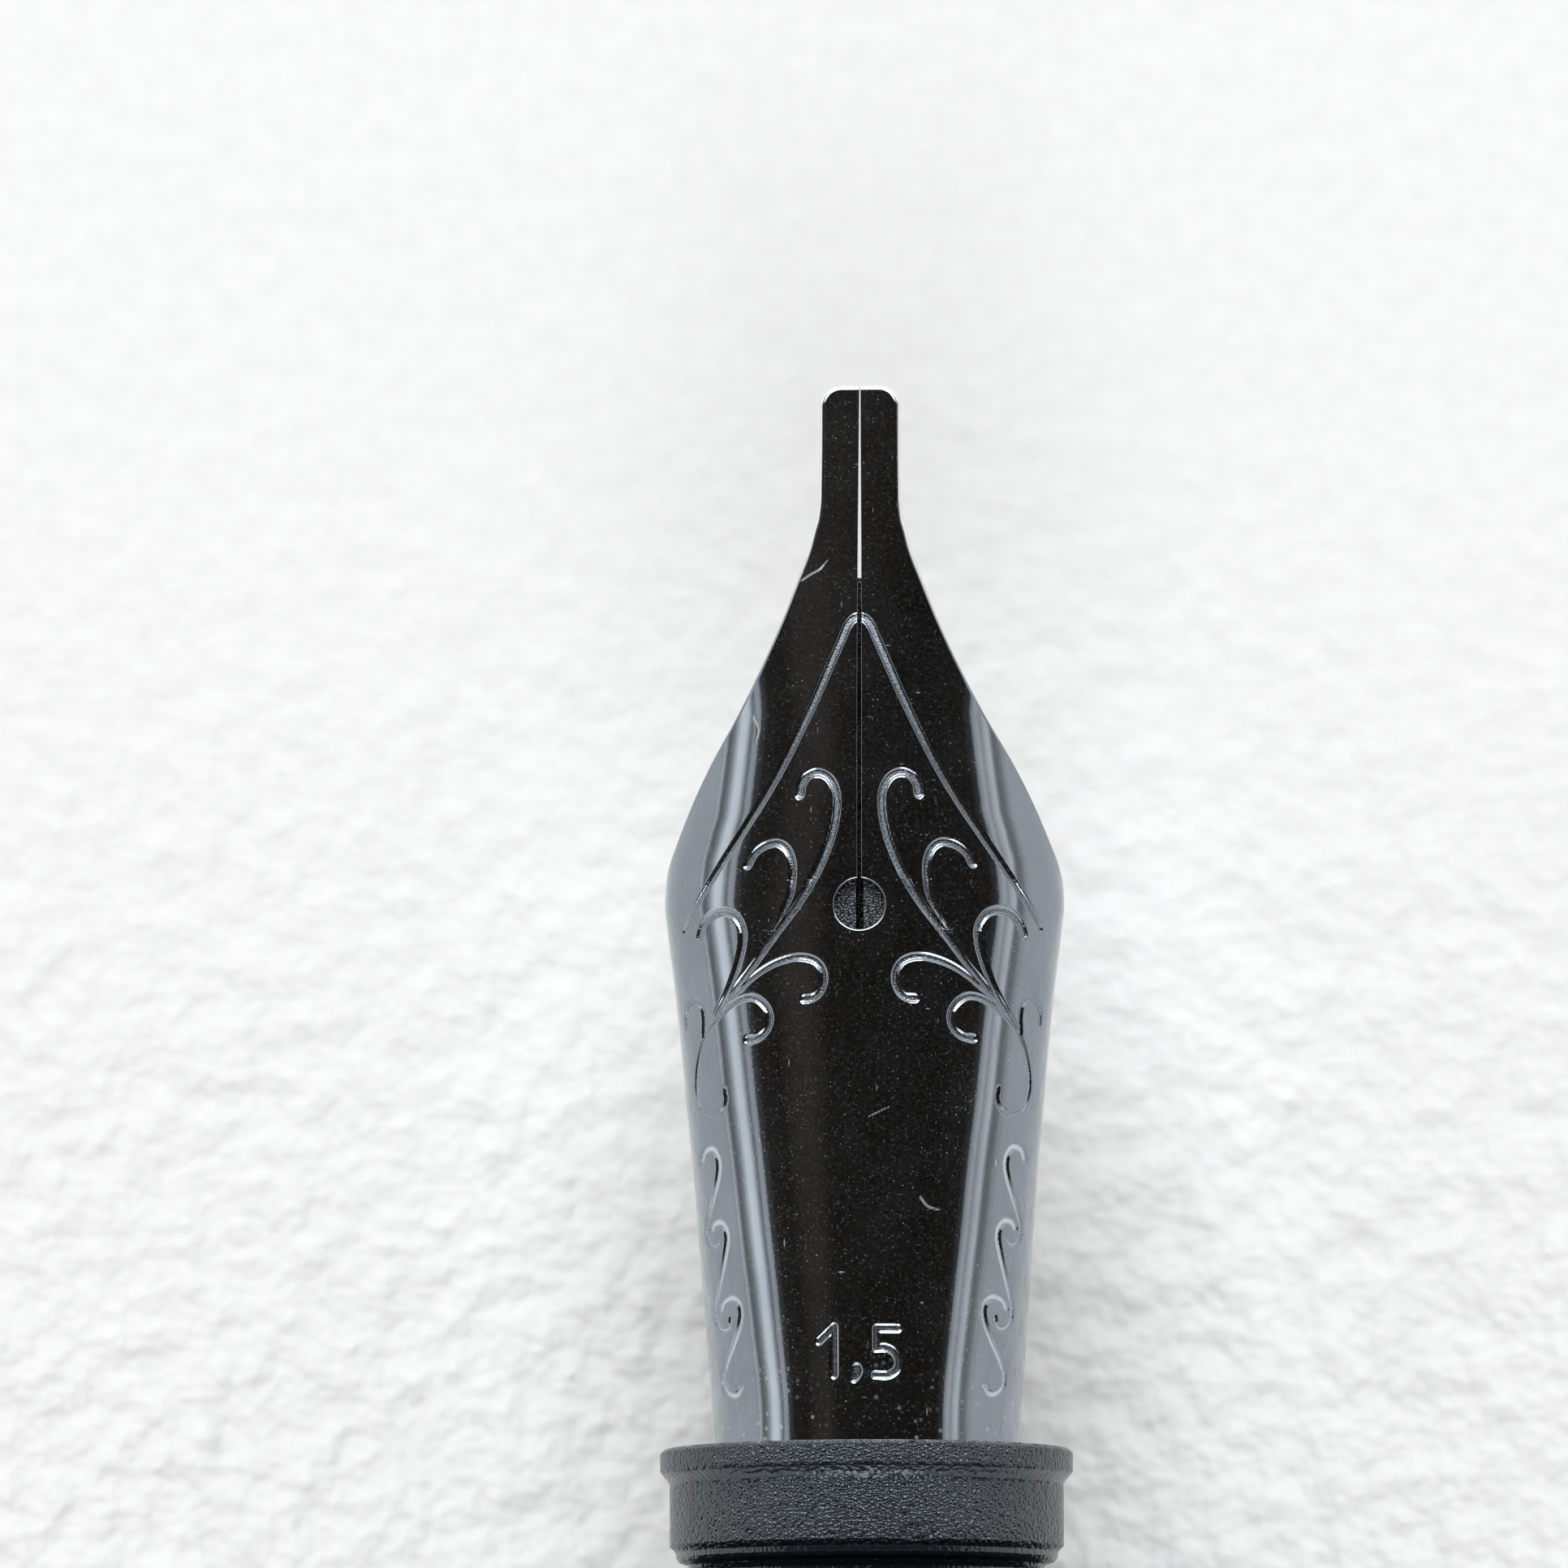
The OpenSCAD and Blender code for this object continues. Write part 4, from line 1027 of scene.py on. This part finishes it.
plug = pchip([(-103.5, 0.0), (-103.42, 1.6), (-103.0, 2.9), (-102.2, 3.8), (-101.1, 4.4), (-99.9, 4.72), (-99.1, 4.80)])
dome = [[4.80 * math.cos(t) ** 0.92, -99.1 - 4.4 * math.sin(t)] for t in np.linspace(0.0, math.pi / 2 - 0.02, 26)]
finish_piece(revolve("tail_plug_detailed", [[0, -103.5]] + dome[::-1] + [[2.35, -99.1], [2.35, -93.0], [2.15, -92.7], [0, -92.7]],
                     200, 0.04, 0.5, attr={"wear": lambda T, A, R: smoothstep((-102.6 - A) / 1.2) * 0.07}),
             "barrel", "barrel_black", BARREL, "tail_plug")

# ------------------------------------------------------------------ the filling unit inside the barrel
finish_piece(revolve("converter_tube_detailed", [
    [1.38, -14.5], [3.0, -14.5], [3.3, -14.8], [3.3, -17.5], [3.6, -18.2], [3.6, -22.0], [3.6, -52.0],
    [3.0, -52.0], [3.0, -20.8], [2.6, -20.4], [1.38, -20.4]], 144, 0.06, 0.8,
    lambda T, A, R: R + np.where((R > 3.55) & (A > -44.8), 0.012 * band(A, -43.6, -43.2, 0.1) + 0.012 * band(A, -31.6, -31.2, 0.1), 0)),
    "converter", "clear_tube", CLEAR, "converter_tube")


def sleeve_shape(T, A, R):
    groove = 0.045 * (band(A, -47.2, -46.9, 0.1) + band(A, -47.9, -47.6, 0.1) + band(A, -59.4, -59.1, 0.1))
    return R - np.where(R > 3.68, groove, 0)


finish_piece(revolve("converter_sleeve_detailed", [
    [3.615, -45.0], [3.72, -45.0], [3.76, -45.05], [3.76, -60.9], [3.70, -61.0], [2.85, -61.0], [2.85, -60.6], [3.615, -60.6]],
    180, 0.03, 0.5, sleeve_shape, fine=[(-48.2, -46.6, 0.05), (-59.7, -58.8, 0.05)]), "converter", "steel_sleeve", STEEL, "converter_sleeve")

finish_piece(revolve("piston_seal_detailed", [
    [0, -46.4], [1.2, -46.5], [2.6, -46.9], [2.96, -47.1], [2.96, -47.6], [2.45, -48.0], [2.45, -49.2], [2.96, -49.6],
    [2.96, -50.2], [2.7, -50.4], [1.5, -50.4], [1.5, -48.2], [0, -48.2]], 128, 0.10, 0.4),
    "piston", "piston_seal", SEAL, "piston_seal")


def rod_shape(T, A, R):
    r = np.where((R > 1.3) & (A < -51.3), 1.36 + 0.22 * thread(T, A, -79.0, -51.4, 1.5, 2), R)
    x = np.abs(r * np.sin(T))
    return np.where(x > 1.2, 1.2 / np.maximum(1e-6, np.abs(np.sin(T))), r)


finish_piece(revolve("piston_rod_detailed", [
    [0, -48.22], [1.2, -48.22], [1.4, -48.4], [1.4, -51.4], [1.36, -51.5], [1.36, -79.0], [1.3, -79.2], [0, -79.2]],
    112, 0.03, 0.5, rod_shape, fine=[(-79.1, -51.3, 0.12)]), "piston", "converter_plastic", PLASTIC, "piston_rod")

for key, mat in (("rod_guide", PLASTIC),):
    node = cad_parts[key]
    node.data.materials.clear()
    node.data.materials.append(mat)


def knob_shape(T, A, R):
    ph = (T * 18 / (2 * math.pi)) % 1.0
    u = np.abs(ph - 0.5) * 2 * math.pi * 3.65 / 18 / 2 * 2
    flute = np.clip(1 - (u / 0.36) ** 2, 0, None) ** 0.5 * 0.24
    run = smoothstep((A + 79.65) / 0.25) * smoothstep((-62.95 - A) / 0.25)
    return R - np.where(R > 3.4, flute * run, 0)


finish_piece(revolve("converter_knob_detailed", [[2.66, -61.2], [3.45, -61.2], [3.65, -61.4], [3.65, -80.4], [2.66, -80.4]],
                     360, 0.06, 0.5, knob_shape, fine=[(-80.0, -79.2, 0.06), (-63.4, -62.6, 0.06)]),
             "knob", "knob_black", KNOB, "converter_knob")

finish_piece(revolve("knob_spindle_detailed", [[1.66, -55.6], [3.4, -55.6], [3.4, -56.6], [2.64, -57.0], [2.64, -79.6], [1.66, -79.6]],
                     144, 0.05, 0.8), "knob", "spindle_brass", SPINDLE, "knob_spindle")

finish_piece(revolve("knob_cap_detailed", [
    [0, -81.2], [1.2, -81.2], [1.3, -81.14], [1.5, -81.14], [1.6, -81.2], [2.9, -81.2], [3.4, -80.9], [3.45, -80.42], [2.62, -80.42], [2.62, -79.62], [0, -79.62]],
    180, 0.05, 0.4), "knob", "steel_sleeve", STEEL, "knob_cap")


# ------------------------------------------------------------------ floor, light and camera
def paper():
    m = Mat("pebbled_paper")
    m.b.inputs["Roughness"].default_value = 0.78
    m.b.inputs["Specular IOR Level"].default_value = 0.25
    far = m.range(m.axis(1), 0.036, 0.068, 1.0, 0.10, True)
    warp = m.noise(0.55, 1.0, 0.45)
    cells = m.voronoi(0.78, feature="SMOOTH_F1")
    wide = m.noise(1.7, 1.0, 0.4)
    h = m.math("ADD", m.math("MULTIPLY", cells.outputs["Distance"], -0.75), m.math("MULTIPLY", warp, 0.62))
    h = m.math("MULTIPLY", h, far)
    b = m.bump(h, 0.235, 1.0)
    m.into("Normal", m.bump(m.math("MULTIPLY", wide, far), 0.40, 0.6, b))
    tone = m.mix(m.range(warp, 0.35, 0.65, 0, 1), (0.890, 0.889, 0.892), (0.914, 0.913, 0.916))
    # painted light: the paper is paler in a soft oval round the nib unit, lifting the shadow the pen casts there
    off = m.math("MULTIPLY", m.math("SUBTRACT", m.axis(1), 0.046), 0.62)
    off = m.math("POWER", m.math("ADD", m.math("MULTIPLY", m.axis(0), m.axis(0)), m.math("MULTIPLY", off, off)), 0.5)
    painted_fill_light_near_pen = m.range(off, 0.0045, 0.0115, 1.0, 0.0, True)
    m.into("Base Color", m.mix(painted_fill_light_near_pen, tone, (0.985, 0.985, 0.987)))
    return m.m


floor = bpy.data.meshes.new("floor")
S = 1.6
floor.from_pydata([(-S, -S, -5e-5), (S, -S, -5e-5), (S, S, -5e-5), (-S, S, -5e-5)], [], [(0, 1, 2, 3)])
floor_ob = bpy.data.objects.new("floor", floor)
bpy.context.scene.collection.objects.link(floor_ob)
floor.materials.append(paper())


def build_world():
    """A dim ceiling overhead and pale walls round the table, with their darker gaps, as a mirror on the table would see them."""
    w = bpy.data.worlds.new("studio")
    bpy.context.scene.world = w
    w.use_nodes = True
    t = w.node_tree
    t.nodes.clear()
    out = t.nodes.new("ShaderNodeOutputWorld")
    bg = t.nodes.new("ShaderNodeBackground")
    co = t.nodes.new("ShaderNodeTexCoord")
    sep = t.nodes.new("ShaderNodeSeparateXYZ")
    t.links.new(co.outputs["Generated"], sep.inputs[0])
    ac = t.nodes.new("ShaderNodeMath")
    ac.operation = "ARCCOSINE"
    t.links.new(sep.outputs[2], ac.inputs[0])
    deg = t.nodes.new("ShaderNodeMapRange")
    deg.inputs["From Max"].default_value = math.pi / 2
    t.links.new(ac.outputs[0], deg.inputs["Value"])
    left = [(0, 0.020), (20, 0.024), (29, 0.062), (37, 0.058), (46, 0.026), (57, 0.038), (61.8, 0.15), (62.7, 0.80), (65.4, 0.94),
            (67.2, 0.46), (68.2, 0.50), (70.2, 1.14), (72, 1.72), (76, 1.82), (78.5, 1.22), (81, 0.66), (84, 0.38), (86, 0.34),
            (88, 0.95), (90, 1.25)]
    right = [(0, 0.020), (40, 0.018), (60, 0.028), (65.0, 0.10), (66.0, 0.58), (68.0, 0.88), (70, 1.08), (72, 0.74), (74, 1.02),
             (77, 1.35), (78.5, 1.15), (80, 0.60), (82, 0.38), (85, 0.46), (88, 0.68), (90, 0.92)]
    ends = [(0, 0.020), (34, 0.022), (42, 0.70), (55, 1.25), (90, 1.30)]
    made = []
    for stops in (left, right, ends):
        ramp = t.nodes.new("ShaderNodeValToRGB")
        e = ramp.color_ramp.elements
        while len(e) < len(stops):
            e.new(0.5)
        for el, (ang, v) in zip(e, stops):
            el.position = ang / 90
            warm = (1.26, 1.0, 0.78) if v < 0.1 else (1.0, 1.0, 1.0)
            el.color = (v * warm[0], v * warm[1], v * warm[2], 1)
        t.links.new(deg.outputs[0], ramp.inputs[0])
        made.append(ramp)
    side = t.nodes.new("ShaderNodeMapRange")
    side.inputs["From Min"].default_value = -0.3
    side.inputs["From Max"].default_value = 0.3
    t.links.new(sep.outputs[0], side.inputs["Value"])
    mix = t.nodes.new("ShaderNodeMixRGB")
    t.links.new(side.outputs[0], mix.inputs[0])
    t.links.new(made[0].outputs[0], mix.inputs[1])
    t.links.new(made[1].outputs[0], mix.inputs[2])
    along = t.nodes.new("ShaderNodeMath")
    along.operation = "ABSOLUTE"
    t.links.new(sep.outputs[1], along.inputs[0])
    reach = t.nodes.new("ShaderNodeMapRange")
    reach.inputs["From Min"].default_value = 0.42
    reach.inputs["From Max"].default_value = 0.62
    t.links.new(along.outputs[0], reach.inputs["Value"])
    near = t.nodes.new("ShaderNodeMapRange")
    near.inputs["From Min"].default_value = -0.3
    near.inputs["From Max"].default_value = 0.3
    near.inputs["To Min"].default_value = 0.80
    t.links.new(sep.outputs[1], near.inputs["Value"])
    amount = t.nodes.new("ShaderNodeMath")
    amount.operation = "MULTIPLY"
    t.links.new(reach.outputs[0], amount.inputs[0])
    t.links.new(near.outputs[0], amount.inputs[1])
    both = t.nodes.new("ShaderNodeMixRGB")
    t.links.new(amount.outputs[0], both.inputs[0])
    t.links.new(mix.outputs[0], both.inputs[1])
    t.links.new(made[2].outputs[0], both.inputs[2])
    t.links.new(both.outputs[0], bg.inputs[0])
    bg.inputs[1].default_value = 1.0
    t.links.new(bg.outputs[0], out.inputs[0])


build_world()


def area(name, at, aim, size, power, colour):
    d = bpy.data.lights.new(name, "AREA")
    d.shape = "RECTANGLE"
    d.size, d.size_y = size
    d.energy = power
    d.color = colour
    o = bpy.data.objects.new(name, d)
    bpy.context.scene.collection.objects.link(o)
    o.location = at
    o.rotation_mode = "QUATERNION"
    o.rotation_quaternion = (Vector(aim) - Vector(at)).to_track_quat("-Z", "Y")
    return o


area("far_softbox", (-0.02, 0.76, 0.68), (0, 0.05, 0), (0.86, 0.48), 7.3, (0.98, 0.992, 1.0))
area("near_softbox", (0.03, -0.74, 0.66), (0, 0.03, 0), (0.66, 0.44), 2.9, (0.98, 0.992, 1.0))

cam_data = bpy.data.cameras.new("camera")
cam_data.sensor_width = 36.0
cam_data.lens = 198.69
cam_data.clip_start, cam_data.clip_end = 0.005, 20.0
cam = bpy.data.objects.new("camera", cam_data)
bpy.context.scene.collection.objects.link(cam)
tx, ty, roll = math.radians(2.6907), math.radians(7.4829), math.radians(0.1349)
toward = Vector((math.tan(tx), -math.tan(ty), 1.0)).normalized()
aim = Vector((-1.667, 54.595, 6.1)) * MM
forward = -toward
right = forward.cross(Vector((math.sin(roll), math.cos(roll), 0.0))).normalized()
up = right.cross(forward)
place = Matrix((right, up, -forward)).transposed().to_4x4()
place.translation = aim + toward * 0.180
cam.matrix_world = place
bpy.context.scene.camera = cam
bpy.context.scene.view_settings.view_transform = "Standard"

bpy.context.view_layer.update()
